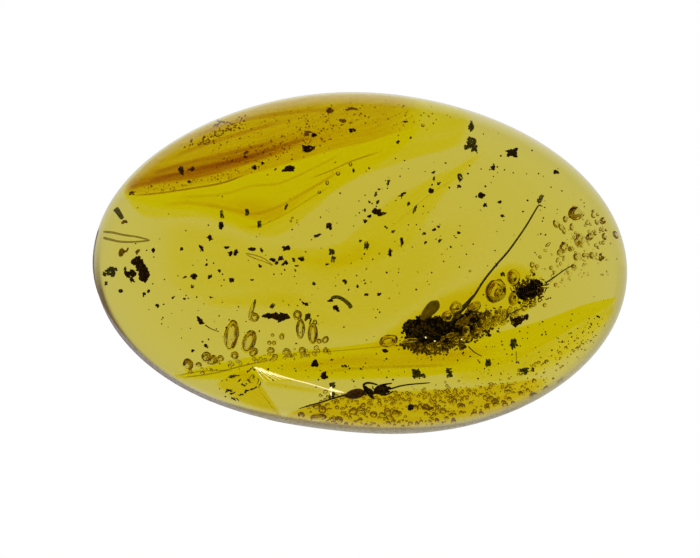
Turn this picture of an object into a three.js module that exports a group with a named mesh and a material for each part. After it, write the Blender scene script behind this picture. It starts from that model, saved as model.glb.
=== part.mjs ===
// A polished pebble of clear amber, cut flat underneath and domed above.
//
// Millimetres, +Z up. The pebble rests on its flat base at z = 0. The origin is the
// middle of its bounding box at that level, +X runs along its length and +Y across it.
// It hardened from one flow of resin, so it is one solid.

import * as THREE from 'three';

// ---- driving dimensions -------------------------------------------------------------

const length = 34;             // tip to tip, along X
const widthToLength = 0.637;   // width of the oval over its length
const height = 9;              // flat base to the top of the dome
const girdleHeight = 2.7;      // level of the widest outline above the base
const baseFraction = 0.85;     // flat base over the widest outline, in every direction
const turn = -2.5;             // the oval's long axis, in degrees from +X

// The outline's departures from an oval: the number of waves round the rim, their height
// as a fraction of the radius, and the direction of one crest in degrees from +X.
const bulges = [
  { waves: 1, height: 0.013, crest: -55 },
  { waves: 3, height: 0.012, crest: 80 },
  { waves: 4, height: 0.005, crest: 26 },
];

// The dome is a little blunter towards the rim than a plain oval dome.
const bluntness = 0.20;        // 0 for a plain oval dome

// On one side the rim was ground to a steep flat edge, which meets the dome in a crease.
const groundSide = -149;       // direction of its middle, in degrees from +X
const groundReach = 27;        // degrees from the middle to where it has thinned out
const groundDepth = 0.01;      // how much further out the dome would end there
const groundSlope = 4.4;       // rise over run of the ground edge
const outermostCrease = 0.985; // the crease's place where there is hardly any ground edge

const stepsRound = 88;
const stepsDome = 20;
const stepsGround = 2;         // between the crease and the rim
const stepsEdge = 7;

// ---- shape --------------------------------------------------------------------------

const radians = THREE.MathUtils.degToRad;

// Distance from the middle to the rim in one direction: an ellipse of unit half length,
// turned a little, times one plus the sum of the bulges' waves.
function outlineRadius(angle) {
  const across = Math.sin(angle - radians(turn)) / widthToLength;
  const along = Math.cos(angle - radians(turn));
  let bulge = 1;
  for (const wave of bulges) {
    bulge += wave.height * Math.cos(wave.waves * (angle - radians(wave.crest)));
  }
  return bulge / Math.hypot(along, across);
}

// How much of the rim was ground away in one direction: 1 in the middle of the ground side
// and falling off as exp(-(turn / reach)^4).
function grinding(angle) {
  const turned = angle - radians(groundSide);
  const away = Math.atan2(Math.sin(turned), Math.cos(turned)) / radians(groundReach);
  return Math.exp(-(away ** 4)) + 1e-6;
}

// Level of the polished dome at a fraction of the way from the middle to the rim. It is an
// oval dome, z = sqrt(1 - s) with s the square of the fraction, whose s is lessened between
// the middle and the rim by the bluntness.
function polishedLevel(fraction, angle) {
  const square = Math.min(fraction * (1 - groundDepth * grinding(angle)), 1) ** 2;
  const eased = square * (1 - 4 * bluntness * square * (1 - square));
  return girdleHeight + (height - girdleHeight) * Math.sqrt(Math.max(1 - eased, 0));
}

// Level of the ground edge: a straight slope up from the rim, steeper where less was ground.
function groundLevel(fraction, angle) {
  const inwards = Math.max(1 - fraction, 0) * outlineRadius(angle) * length / 2;
  return girdleHeight + groundSlope / grinding(angle) * inwards;
}

// The fraction at which the dome meets the ground edge, found by halving the stretch that
// holds it.
function creaseFraction(angle) {
  let inner = 0.7;
  let outer = 1;
  for (let halving = 0; halving < 40; halving++) {
    const middle = (inner + outer) / 2;
    if (polishedLevel(middle, angle) < groundLevel(middle, angle)) {
      inner = middle;
    } else {
      outer = middle;
    }
  }
  return Math.min(inner, outermostCrease);
}

// Half of the pebble's section for the lathe, from the middle of the base outwards, round
// the lower edge, which is a quarter of an ellipse, and up over the dome. The ring of the
// crease is kept at the same fraction here, and moves to its own in each direction later.
function sectionProfile() {
  const profile = [new THREE.Vector2(0, 0)];
  for (let step = 0; step < stepsEdge; step++) {
    const quarter = (1 - step / stepsEdge) * Math.PI / 2;
    const fraction = baseFraction + (1 - baseFraction) * Math.cos(quarter);
    profile.push(new THREE.Vector2(fraction, girdleHeight * (1 - Math.sin(quarter))));
  }
  for (let step = 0; step < stepsGround; step++) {
    const fraction = 1 - (1 - outermostCrease) * step / stepsGround;
    profile.push(new THREE.Vector2(fraction, girdleHeight + step));
  }
  for (let step = 0; step < stepsDome; step++) {
    const quarter = (1 - step / stepsDome) * Math.PI / 2;
    profile.push(new THREE.Vector2(outermostCrease * Math.sin(quarter), height - 1));
  }
  profile.push(new THREE.Vector2(0, height));
  return profile;
}

// The lathe turns a round pebble of unit radius. Each of its points is then moved out to
// the true outline, and each point above the rim to the level of the dome or of the ground
// edge, whichever is lower.
function pebbleGeometry() {
  const geometry = new THREE.LatheGeometry(sectionProfile(), stepsRound);
  geometry.rotateX(Math.PI / 2);
  const position = geometry.attributes.position;
  for (let index = 0; index < position.count; index++) {
    const angle = Math.atan2(position.getY(index), position.getX(index));
    const fraction = Math.hypot(position.getX(index), position.getY(index));
    let place = fraction;
    let level = position.getZ(index);
    if (level > girdleHeight) {
      const crease = creaseFraction(angle);
      const edge = Math.max(fraction - outermostCrease, 0) / (1 - outermostCrease);
      place = Math.min(fraction / outermostCrease, 1) * crease + edge * (1 - crease);
      level = Math.min(polishedLevel(place, angle), groundLevel(place, angle));
    }
    const reach = place * outlineRadius(angle);
    position.setXYZ(index, reach * Math.cos(angle), reach * Math.sin(angle), level);
  }

  geometry.computeBoundingBox();
  const box = geometry.boundingBox;
  const scale = length / (box.max.x - box.min.x);
  geometry.translate(-(box.min.x + box.max.x) / 2, -(box.min.y + box.max.y) / 2, 0);
  geometry.scale(scale, scale, 1);
  geometry.computeVertexNormals();
  return geometry;
}

// ---- scene graph --------------------------------------------------------------------

const amber = new THREE.Mesh(
  pebbleGeometry(),
  new THREE.MeshStandardMaterial({
    color: 0xc0b010,
    roughness: 0.05,
    metalness: 0,
    transparent: true,
    opacity: 0.6,
  }),
);
amber.name = 'amber';

const specimen = new THREE.Group();
specimen.add(amber);

export default specimen;
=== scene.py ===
# %% [markdown]
# # A small ant in a pebble of amber
#
# The object is one oval pebble of clear yellow amber, polished by hand, flat underneath and
# domed above. Sealed inside it are an ant, a dark clump of plant remains with a long thread,
# gas bubbles, many grains of dust, the layers of several flows of resin, and a crack.
#
# A fossil like this is a lesson in see-through things: the pebble is one closed surface of
# glass with colour in its volume, and whatever is sealed in it is a piece of its own.

import bpy
import numpy as np
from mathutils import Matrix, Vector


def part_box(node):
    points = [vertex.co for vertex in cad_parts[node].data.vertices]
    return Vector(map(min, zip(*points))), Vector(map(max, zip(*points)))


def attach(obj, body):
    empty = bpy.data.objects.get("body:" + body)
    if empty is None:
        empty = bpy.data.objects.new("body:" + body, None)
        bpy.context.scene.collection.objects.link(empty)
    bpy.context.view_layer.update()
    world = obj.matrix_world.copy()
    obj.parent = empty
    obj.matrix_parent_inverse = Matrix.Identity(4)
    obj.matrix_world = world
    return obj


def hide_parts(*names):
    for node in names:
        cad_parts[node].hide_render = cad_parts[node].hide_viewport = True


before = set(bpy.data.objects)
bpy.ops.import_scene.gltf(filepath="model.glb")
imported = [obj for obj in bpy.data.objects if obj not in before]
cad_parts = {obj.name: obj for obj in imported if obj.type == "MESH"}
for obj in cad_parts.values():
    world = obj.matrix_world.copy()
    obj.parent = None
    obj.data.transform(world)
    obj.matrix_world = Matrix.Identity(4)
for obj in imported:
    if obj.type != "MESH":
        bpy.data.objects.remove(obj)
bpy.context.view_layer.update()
MM = 0.001
LOW, HIGH = (np.array(corner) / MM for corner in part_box("amber"))
LENGTH, WIDTH, HEIGHT = HIGH - LOW
print(f"the pebble is {LENGTH:.1f} x {WIDTH:.1f} x {HEIGHT:.1f} mm")

# %% [markdown]
# ## The shape of the pebble
#
# A hand-polished pebble is close to an oval, but never quite one. Its outline is worked out in
# polar form: an ellipse, turned a little, times a few waves round the rim. The dome is an
# ellipsoid, a little blunter than a true one. On one side the rim was ground to a steep, dull
# edge that was never polished, and it meets the dome in a crease. The lower edge is a quarter
# of an ellipse that runs into the flat base.
#
# A place on the pebble is given by a direction and by a share: how far it lies of the way from
# the middle, which is 0, to the rim, which is 1. All lengths in this lesson are millimetres, and
# become metres only where a mesh is made.

# %% Outline and section of the pebble
GIRDLE = 0.3 * HEIGHT
BASE_SHARE = 0.85
WIDTH_TO_LENGTH = 0.637
TURN = np.radians(-2.5)
BULGES = ((1, 0.013, -55), (3, 0.012, 80), (4, 0.005, 26))
BLUNTNESS = 0.20
GROUND_SIDE = np.radians(-149)
GROUND_REACH = np.radians(27)
GROUND_DEPTH = 0.01
GROUND_SLOPE = 4.4
CREASE_SOFTNESS = 0.12


def unit_rim(angle):
    """Polar outline: 1 / hypot(cos, sin / width), times 1 + the sum of the bulges' cosine waves."""
    bulge = 1 + sum(
        height * np.cos(waves * (angle - np.radians(crest))) for waves, height, crest in BULGES
    )
    return bulge / np.hypot(np.cos(angle - TURN), np.sin(angle - TURN) / WIDTH_TO_LENGTH)


ROUND = np.linspace(0, 2 * np.pi, 1440, endpoint=False)
RIM_X = unit_rim(ROUND) * np.cos(ROUND)
RIM_Y = unit_rim(ROUND) * np.sin(ROUND)
SCALE = LENGTH / np.ptp(RIM_X)
SHIFT_X = -SCALE * (RIM_X.max() + RIM_X.min()) / 2
SHIFT_Y = -SCALE * (RIM_Y.max() + RIM_Y.min()) / 2


def place_on_plan(share, angle):
    """x and y of a point at a share of the way from the middle to the rim, in a direction."""
    reach = share * SCALE * unit_rim(angle)
    return reach * np.cos(angle) + SHIFT_X, reach * np.sin(angle) + SHIFT_Y


def share_and_angle(x, y):
    """The share of the way to the rim, and the direction, of a point on the plan."""
    angle = np.arctan2(y - SHIFT_Y, x - SHIFT_X)
    return np.hypot(x - SHIFT_X, y - SHIFT_Y) / (SCALE * unit_rim(angle)), angle


def grinding(angle):
    """How much of the rim was ground away: exp(-(turn / reach)^4), 1 at the ground side.

    It never quite comes to 0, because the slope of the ground edge is divided by it.
    """
    away = np.angle(np.exp(1j * (angle - GROUND_SIDE)))
    return np.exp(-((away / GROUND_REACH) ** 4)) + 1e-6


def polished(share, angle):
    """z = girdle + rise * sqrt(1 - s * (1 - 4 * blunt * s * (1 - s))), with s = share^2."""
    square = np.minimum(share * (1 - GROUND_DEPTH * grinding(angle)), 1) ** 2
    eased = square * (1 - 4 * BLUNTNESS * square * (1 - square))
    return GIRDLE + (HEIGHT - GIRDLE) * np.sqrt(np.maximum(1 - eased, 0))


def ground_edge(share, angle):
    """The ground edge: a straight slope up from the girdle, steeper where less was ground."""
    return GIRDLE + GROUND_SLOPE / grinding(angle) * (1 - share) * SCALE * unit_rim(angle)


def dome(share, angle):
    """The lower of the polished dome and the ground edge, with their crease rounded."""
    high, steep = polished(share, angle), ground_edge(share, angle)
    soft = CREASE_SOFTNESS * grinding(angle)
    mix = np.clip(0.5 + (steep - high) / (2 * soft), 0, 1)
    return steep + (high - steep) * mix - soft * mix * (1 - mix)


def crease_share(angle):
    """Share at which the dome meets the ground edge, found by halving the stretch that holds it."""
    inner, outer = np.full(np.shape(angle), 0.7), np.ones(np.shape(angle))
    for _ in range(40):
        middle = (inner + outer) / 2
        on_dome = polished(middle, angle) < ground_edge(middle, angle)
        inner, outer = np.where(on_dome, middle, inner), np.where(on_dome, outer, middle)
    return inner


def underside(share):
    """Zero on the flat base, then a quarter of an ellipse up to the girdle."""
    edge = np.clip((share - BASE_SHARE) / (1 - BASE_SHARE), 0, 1)
    return GIRDLE * (1 - np.sqrt(1 - edge**2))


widest = (1 - crease_share(GROUND_SIDE)) * SCALE * unit_rim(GROUND_SIDE)
print(f"girdle {GIRDLE:.1f} mm above the base, ground edge up to {widest:.2f} mm wide on plan")

# %% [markdown]
# ## Camera
#
# The fossil lies flat, so the camera looks straight down on it. It comes before the pieces,
# because what is sealed in a lens is seen where the lens shows it, not where it lies.

# %% Camera
LENS = 100
SENSOR = 36
FRAME_WIDTH = 44.65
AIM = (-0.64, -1.02)
EYE = np.array([AIM[0], AIM[1], GIRDLE + FRAME_WIDTH * LENS / SENSOR])

camera = bpy.data.objects.new("camera", bpy.data.cameras.new("camera"))
camera.data.lens = LENS
camera.data.sensor_width = SENSOR
camera.data.clip_start = 0.005
camera.location = EYE * MM
bpy.context.scene.collection.objects.link(camera)
bpy.context.scene.camera = camera
print(f"the camera is {EYE[2]:.0f} mm above the table")

# %% [markdown]
# ## Where a thing lies, and where it is seen
#
# The dome bends every line of sight, by Snell's law, so a thing deep in the pebble is seen
# shifted and enlarged. Each sealed piece is therefore shaped as it is seen, on the plane of the
# girdle, and each of its points is then moved sideways to where it must lie, at its own depth,
# to be seen there. This is the same sum that the renderer does, run backwards.

# %% Line of sight through the dome
AMBER_IOR = 1.54
COVER = 0.12
OUTERMOST = 0.985


def dome_over(x, y):
    """Level of the dome above a point on the plan, short of the last hundredth at the rim."""
    share, angle = share_and_angle(x, y)
    return dome(np.minimum(share, 0.99), angle)


def seen_at(points):
    """Moves points (x, y as seen on the girdle's plane, z as it lies) to where they lie.

    The line from the eye meets the dome, found by repeated substitution. The normal there is
    (-dz/dx, -dz/dy, 1), and the ray bends to r * d + (r * c - sqrt(1 - r^2 * (1 - c^2))) * n.
    Nothing comes nearer to a surface than the cover, or to the rim than the outermost share.
    """
    points = np.asarray(points, float)
    flat = points.reshape(-1, 3)
    ray = np.column_stack([flat[:, 0], flat[:, 1], np.full(len(flat), GIRDLE)]) - EYE
    ray /= np.linalg.norm(ray, axis=1, keepdims=True)
    level = np.full(len(flat), HEIGHT)
    for _ in range(12):
        hit = EYE + ray * ((level - EYE[2]) / ray[:, 2])[:, None]
        level = dome_over(hit[:, 0], hit[:, 1])
    step = 0.02
    slope_x = (dome_over(hit[:, 0] + step, hit[:, 1]) - dome_over(hit[:, 0] - step, hit[:, 1]))
    slope_y = (dome_over(hit[:, 0], hit[:, 1] + step) - dome_over(hit[:, 0], hit[:, 1] - step))
    normal = np.column_stack([-slope_x, -slope_y, np.full(len(flat), 2 * step)])
    normal /= np.linalg.norm(normal, axis=1, keepdims=True)
    ratio = 1 / AMBER_IOR
    facing = -(ray * normal).sum(1)
    turn = ratio * facing - np.sqrt(1 - ratio**2 * (1 - facing**2))
    bent = ratio * ray + turn[:, None] * normal
    way = (np.minimum(flat[:, 2], hit[:, 2] - COVER) - hit[:, 2]) / bent[:, 2]
    lies = hit + bent * way[:, None]
    share, angle = share_and_angle(lies[:, 0], lies[:, 1])
    share = np.minimum(share, OUTERMOST)
    lies[:, 0], lies[:, 1] = place_on_plan(share, angle)
    lies[:, 2] = np.clip(lies[:, 2], underside(share) + COVER, dome(share, angle) - COVER)
    return lies.reshape(points.shape)


def depth(x, y, share):
    """Level at a share of the way from the underside up to the dome, at a point on the plan."""
    near, _ = share_and_angle(x, y)
    low = underside(near)
    return low + share * (dome_over(x, y) - low)


shown = seen_at([[-8.0, 4.0, 3.0]])[0]
print(f"a thing seen at (-8, 4) and 3 mm up lies at ({shown[0]:.2f}, {shown[1]:.2f})")

# %% [markdown]
# ## Making meshes
#
# Every new piece is a grid of points worked out by a formula, or a stack of such grids. One
# helper joins the rows of the grids with quads and closes their ends, so that each of them
# is a closed skin. Another puts points and faces into a mesh, with a value for each point
# where a finish needs one.

# %% Helpers for meshes


def grid_faces(count, rows, columns, start=0):
    """Quads of some like grids that go round in their columns, with a face to close each end."""
    first = start + (np.arange(count) * rows * columns)[:, None, None]
    row = np.arange(rows - 1)[None, :, None] * columns
    column = np.arange(columns)[None, None, :]
    after = (column + 1) % columns
    quads = np.stack(
        [first + row + column, first + row + after,
         first + row + columns + after, first + row + columns + column], axis=-1,
    ).reshape(-1, 4)
    ring = np.arange(columns)
    low_ends = first.reshape(-1, 1) + ring[::-1]
    high_ends = first.reshape(-1, 1) + (rows - 1) * columns + ring
    return quads.tolist() + low_ends.tolist() + high_ends.tolist()


def join(*stacks):
    """One array of points and one list of faces from stacks of grids (count, rows, columns)."""
    points, faces, start = [], [], 0
    for stack in stacks:
        faces += grid_faces(*stack.shape[:3], start)
        points.append(stack.reshape(-1, 3))
        start += len(points[-1])
    return np.concatenate(points), faces


def add_piece(name, points, faces, material, values=None):
    """Makes a mesh from points in millimetres, gives it a finish and fixes it to the pebble."""
    mesh = bpy.data.meshes.new(name)
    mesh.from_pydata((points * MM).tolist(), [], faces)
    mesh.polygons.foreach_set("use_smooth", np.ones(len(mesh.polygons), bool))
    for label, value in (values or {}).items():
        value = np.asarray(value, np.float32)
        kind, field = ("FLOAT", "value") if value.size == len(points) else ("FLOAT_COLOR", "color")
        layer = mesh.attributes.new(label, kind, "POINT")
        layer.data.foreach_set(field, value.ravel())
    mesh.materials.append(material)
    mesh.update()
    piece = bpy.data.objects.new(name, mesh)
    bpy.context.scene.collection.objects.link(piece)
    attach(piece, "root")
    print(f"{name}: {len(faces)} faces")
    return piece


def add_sealed(name, stacks, material, values=None):
    """Adds a piece that is sealed in the pebble, and prints how near it comes to a surface."""
    points, faces = join(*stacks)
    points = seen_at(points)
    share, angle = share_and_angle(points[:, 0], points[:, 1])
    share = np.minimum(share, 1)
    near = min((dome(share, angle) - points[:, 2]).min(), (points[:, 2] - underside(share)).min())
    print(f"  {near:.2f} mm under the surface:")
    return add_piece(name, points, faces, material, values)


# %% [markdown]
# ## Curves, skins and lumps
#
# Three kinds of shape make nearly everything in the amber. A smooth curve through a few points
# carries a thread or a leg. A round skin about it gives it a thickness that may change along
# it. A lump is a ball with waves on it, for a crumb of wood, a bubble or the body of an ant.

# %% Helpers for curves, skins and lumps
CURVE_SPOTS = 600
NEAR_RIM = 0.975


def through(points, count):
    """Points spread along a smooth curve through the given ones.

    Each stretch is a cubic, and its slope at a point is half the way between the neighbours.
    """
    points = np.asarray(points, float)
    ends = np.vstack([2 * points[0] - points[1], points, 2 * points[-1] - points[-2]])
    place = np.linspace(0, len(points) - 1 - 1e-9, count)
    first = place.astype(int)
    t = (place - first)[:, None]
    a, b, c, d = (ends[first + k] for k in range(4))
    return (2 * b + (c - a) * t + (2 * a - 5 * b + 4 * c - d) * t**2
            + (3 * b - a - 3 * c + d) * t**3) / 2


def skins(paths, radii, around=8):
    """A round skin about each path: path + radius * (cos * side + sin * other side)."""
    ahead = np.gradient(paths, axis=-2)
    ahead /= np.linalg.norm(ahead, axis=-1, keepdims=True)
    side = np.cross(np.array([0.02, 0.03, 1.0]), ahead)
    side /= np.linalg.norm(side, axis=-1, keepdims=True)
    other = np.cross(ahead, side)
    spin = np.linspace(0, 2 * np.pi, around, endpoint=False)[:, None]
    ring = np.cos(spin) * side[..., None, :] + np.sin(spin) * other[..., None, :]
    return paths[..., None, :] + np.asarray(radii)[..., None, None] * ring


def thread(points, level, thick, thin, count=40, around=8):
    """A skin about a smooth curve seen at (x, y), at a level, from thick to thin with round ends."""
    flat = through(points, count)
    path = np.column_stack([flat, np.linspace(*np.broadcast_to(level, 2), count)])
    t = np.linspace(0, 1, count)
    ends = np.sqrt(np.clip(1 - (2 * t - 1) ** 16, 0.002, 1))
    return skins(path[None], ((thick + (thin - thick) * t) * ends)[None], around)


def lumps(places, sizes, leans, rng, waviness, rows=8, columns=11):
    """A unit ball times 1 + a sum of sine waves in random directions, sized, leaned and placed.

    places and sizes are (count, 3), and leans are degrees in the plan. waviness 0 is smooth.
    The rings stop just short of the poles, which a small flat face closes.
    """
    places, sizes = np.asarray(places, float), np.asarray(sizes, float)
    count = len(places)
    north = np.linspace(-0.97, 0.97, rows)[:, None] * np.pi / 2
    east = np.linspace(0, 2 * np.pi, columns, endpoint=False)[None, :]
    ball = np.stack([np.cos(north) * np.cos(east), np.cos(north) * np.sin(east),
                     np.sin(north) * np.ones_like(east)], axis=-1)
    rates = np.array([2.0, 3.1, 4.7, 6.3])
    ways = rng.normal(size=(count, 4, 3)) * rates[:, None]
    phase = rng.uniform(0, 2 * np.pi, (count, 1, 1, 4))
    waves = np.sin(np.einsum("rck,nwk->nrcw", ball, ways) + phase) @ (2 / rates)
    shape = ball * (1 + waviness * waves)[..., None] * sizes[:, None, None, :] / 2
    lean = np.radians(np.asarray(leans, float))[:, None, None]
    x = shape[..., 0] * np.cos(lean) - shape[..., 1] * np.sin(lean)
    y = shape[..., 0] * np.sin(lean) + shape[..., 1] * np.cos(lean)
    return np.stack([x, y, shape[..., 2]], axis=-1) + places[:, None, None, :]


def laid(rows, rng, share=(0.3, 0.7), thickness=0.8):
    """Places, sizes and leans from rows of x, y, width, height and lean, at random depths.

    share is the lowest and the highest depth, and thickness is a part of the lesser width.
    """
    rows = np.asarray(rows, float)
    x, y, width, height, lean = rows.T
    level = depth(x, y, rng.uniform(*share, len(rows)))
    thick = thickness * np.minimum(width, height)
    return np.column_stack([x, y, level]), np.column_stack([width, height, thick]), lean


def strewn(curve, count, spread, sizes, rng, share=(0.3, 0.7), thickness=0.8):
    """Places, sizes and leans of small things: a random point of a curve + normal noise * spread.

    spread is the noise's width in x and in y, and sizes is the least and the greatest width.
    A thing that would lie at the rim or past it is left out.
    """
    middle = through(curve, CURVE_SPOTS)[rng.integers(0, CURVE_SPOTS, count)]
    away = rng.normal(size=(count, 2)) * spread
    size = rng.uniform(*sizes, count)
    stretch = rng.uniform(0.75, 1.3, count)
    rows = np.column_stack([middle + away, size, size * stretch, rng.uniform(0, 180, count)])
    inside = share_and_angle(rows[:, 0], rows[:, 1])[0] < NEAR_RIM
    return laid(rows[inside], rng, share, thickness)


# %% [markdown]
# ## Helper for materials
#
# A finish is a tree of nodes. Written out, each node takes several lines, so one helper adds a
# node, fills its inputs and links it, and a finish reads like a list of what it is made of.

# %% Helpers for materials


def node(tree, kind, inputs=None, **settings):
    """Adds a node. Each named input gets a value, or a link where the value is a socket."""
    made = tree.nodes.new(kind)
    for name, value in settings.items():
        setattr(made, name, value)
    for name, value in (inputs or {}).items():
        if isinstance(value, bpy.types.NodeSocket):
            tree.links.new(value, made.inputs[name])
        else:
            made.inputs[name].default_value = value
    return made


def new_material(name):
    """An empty material, its node tree and its output."""
    material = bpy.data.materials.new(name)
    material.use_nodes = True
    material.node_tree.nodes.clear()
    return material, material.node_tree, node(material.node_tree, "ShaderNodeOutputMaterial")


# %% [markdown]
# ## Amber
#
# Amber is a clear yellow glass of index 1.54. Its colour is in its depth, so it comes from an
# absorbing volume, not from the surface: thick places are deep yellow and the thin rim is
# pale. A grey base colour stands for light lost at the two surfaces. A mask on the mesh makes
# the amber rough on the ground edge and along the lower side of the rim, with fine marks of the
# grinding, and darkens its base colour there to a deep brown, which is painted shade.

# %% Amber
amber_finish, tree, output = new_material("amber")
where = node(tree, "ShaderNodeTexCoord").outputs["Object"]
# The ground_edge mask covers the ground edge and a band along the lower side of the rim.
edge = node(tree, "ShaderNodeAttribute", attribute_name="ground_edge").outputs["Fac"]
wear = node(tree, "ShaderNodeTexNoise", {"Vector": where, "Scale": 900, "Detail": 4})
marks = node(tree, "ShaderNodeTexNoise", {"Vector": where, "Scale": 4500, "Detail": 3})
polish = node(tree, "ShaderNodeMapRange", {"Value": wear.outputs["Fac"], "From Min": 0.5,
                                            "From Max": 0.8, "To Min": 0.0, "To Max": 0.06})
dull = node(tree, "ShaderNodeMapRange", {"Value": marks.outputs["Fac"], "From Min": 0.3,
                                          "From Max": 0.7, "To Min": 0.25, "To Max": 0.5})
gloss = node(tree, "ShaderNodeMix", {"Factor": edge, 2: polish.outputs["Result"],
                                      3: dull.outputs["Result"]})
# Painted shade: where the mask is 1, the base colour goes from grey to a near-black brown.
colour = node(tree, "ShaderNodeMix", {"Factor": edge, 6: (0.62, 0.585, 0.57, 1),
                                       7: (0.05, 0.022, 0.02, 1)}, data_type="RGBA")
height = node(tree, "ShaderNodeMix", {"Factor": edge, 2: wear.outputs["Fac"],
                                       3: marks.outputs["Fac"]})
bump = node(tree, "ShaderNodeBump", {"Height": height.outputs[0], "Strength": 0.02,
                                     "Distance": 0.0001})
shader = node(tree, "ShaderNodeBsdfPrincipled", {
    "Base Color": colour.outputs[2],
    "Roughness": gloss.outputs[0],
    "IOR": AMBER_IOR,
    "Transmission Weight": 1.0,
    "Normal": bump.outputs["Normal"],
})
volume = node(tree, "ShaderNodeVolumeAbsorption", {"Color": (0.975, 0.93, 0.04, 1),
                                                    "Density": 300})
tree.links.new(shader.outputs["BSDF"], output.inputs["Surface"])
tree.links.new(volume.outputs["Volume"], output.inputs["Volume"])

# %% [markdown]
# ## The pebble
#
# The pebble is one closed grid: rings from the middle of the base, round the rim, over the
# ground edge and up to the top of the dome. The rings crowd together at the crease, so that
# it is sharp. Polishing by hand leaves waves a few hundredths of a millimetre high, which make
# the amber look like a worked stone and not like a moulded lens.

# %% Rings of the pebble
AROUND = 320
DOME_ROWS, CREASE_ROWS, EDGE_ROWS = 84, 20, 9
UNDER_ROWS, BASE_ROWS = 26, 16
OUTERMOST_CREASE = 0.985
WAVE_HEIGHT = 0.012

turn = np.linspace(0, 2 * np.pi, AROUND, endpoint=False)[None, :]
crease = np.minimum(crease_share(turn), OUTERMOST_CREASE)
dome_rows = np.sin(np.linspace(0.004, 1, DOME_ROWS) * np.pi / 2)[:, None] * (2 * crease - 1)
near_crease = np.linspace(-1, 0.8, CREASE_ROWS)[1:, None]
crease_rows = crease + near_crease * (1 - crease)
to_rim = 1 - (1 - np.linspace(0, 1, EDGE_ROWS)[1:, None]) ** 2
edge_rows = crease_rows[-1] + to_rim * (1 - crease_rows[-1])
top_shares = np.concatenate([dome_rows, crease_rows, edge_rows])
lower_shares = np.concatenate([
    BASE_SHARE + (1 - BASE_SHARE) * np.cos(np.linspace(0, 1, UNDER_ROWS)[1:] * np.pi / 2),
    BASE_SHARE * np.linspace(1, 0.01, BASE_ROWS)[1:],
])[:, None] * np.ones((1, AROUND))
x, y = place_on_plan(np.concatenate([top_shares, lower_shares]), turn)
z = np.concatenate([dome(top_shares, turn), underside(lower_shares)])
rows = len(top_shares)
hand_waves = np.sin(x / 1.1 + y / 2.3) + np.sin(y / 0.9 - x / 3.1) + np.sin(x / 2.0 - 1.0)
z[:rows] -= (1 - top_shares**2) * WAVE_HEIGHT * (3 + hand_waves[:rows])
body = np.stack([x, y, z], axis=-1)[::-1]
print(f"the pebble has {len(body)} rings of {AROUND} points")

# %% [markdown]
# ## Where the pebble is dull and shaded
#
# Two masks are worked out at the points of the rings and kept as the larger of the two: the
# ground edge outside the crease, and a band along the lower side of the rim, which is softer on
# the right than on the left. The mask makes the amber rough, and darkens its base colour as
# painted shade. Bearings are in degrees, anticlockwise from the right.

# %% The dull and shaded mask and the pebble
SHADED_RIM_FROM, SHADED_RIM_TO = 172, 370
FADE_FROM, FADE_TO = 14, 55
SHADED_RIM_SHARE, SHADED_RIM_BLUR = 0.937, 0.014
CREASE_STEEPNESS = 8
HARDLY_GROUND = 0.02


def rim_shade_band(share, angle):
    """0 to 1: a straight ramp outwards from a share, times ramps at the ends of the shaded side,
    where the rim is made rough and its base colour darker, as painted shade.

    The band begins further out on the left, where it is also a little stronger, and its inner
    edge is more blurred on the right.
    """
    bearing = np.degrees(angle)
    left = np.clip((238 - bearing) / 20, 0, 1)
    right = np.clip((bearing - 285) / 20, 0, 1)
    ends = np.minimum((bearing - SHADED_RIM_FROM) / FADE_FROM, (SHADED_RIM_TO - bearing) / FADE_TO)
    strength = np.clip(ends, 0, 1) * (0.92 + 0.08 * left)
    begins = SHADED_RIM_SHARE + 0.014 * np.clip((240 - bearing) / 20, 0, 1)
    blurred = SHADED_RIM_BLUR + 0.022 * right
    return strength * np.clip((share - begins) / blurred, 0, 1)


# Both masks make the amber rough. The darker base colour that they bring is painted shade.
dull_and_shaded_rim = np.zeros(x.shape)
past_crease = np.clip((top_shares - crease) / (1 - crease) * CREASE_STEEPNESS, 0, 1)
dull_and_shaded_rim[:rows] = past_crease * (grinding(turn) > HARDLY_GROUND)
dull_and_shaded_rim[:rows] = np.maximum(dull_and_shaded_rim[:rows], rim_shade_band(top_shares, turn))
points, faces = join(body[None])
amber = add_piece("amber_pebble", points, faces, amber_finish,
                  {"ground_edge": dull_and_shaded_rim[::-1]})
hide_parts("amber")

# %% [markdown]
# ## The flows of resin
#
# Resin ran down the tree in several flows, one over another, and each has its own yellow. A
# flow is a thin lens between two borders: a skin with a flat oval section, as wide as the
# borders are apart. It bends no light, so its surface is a transparent shader, and its colour
# is kept on the mesh: white outside, the tint inside, with a soft or a crisp edge. Fine
# streaks along the flow come from noise on the mesh's own map, which is long along the flow.

# %% Resin finish
flow_finish, tree, output = new_material("resin_flow")
tint = node(tree, "ShaderNodeAttribute", attribute_name="tint").outputs["Color"]
spread = node(tree, "ShaderNodeAttribute", attribute_name="spread").outputs["Vector"]
streaks = node(tree, "ShaderNodeTexNoise", {"Vector": spread, "Scale": 1.0, "Detail": 5,
                                             "Roughness": 0.6})
thickness = node(tree, "ShaderNodeMapRange", {"Value": streaks.outputs["Fac"], "From Min": 0.3,
                                               "From Max": 0.7, "To Min": 0.6, "To Max": 1.4})
colour = node(tree, "ShaderNodeGamma", {"Color": tint, "Gamma": thickness.outputs["Result"]})
shader = node(tree, "ShaderNodeBsdfTransparent", {"Color": colour.outputs["Color"]})
tree.links.new(shader.outputs["BSDF"], output.inputs["Surface"])


def smooth(value, low, high):
    """0 below low, 1 above high, and 3 t^2 - 2 t^3 between."""
    t = np.clip((value - low) / (high - low), 0, 1)
    return t * t * (3 - 2 * t)


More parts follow.
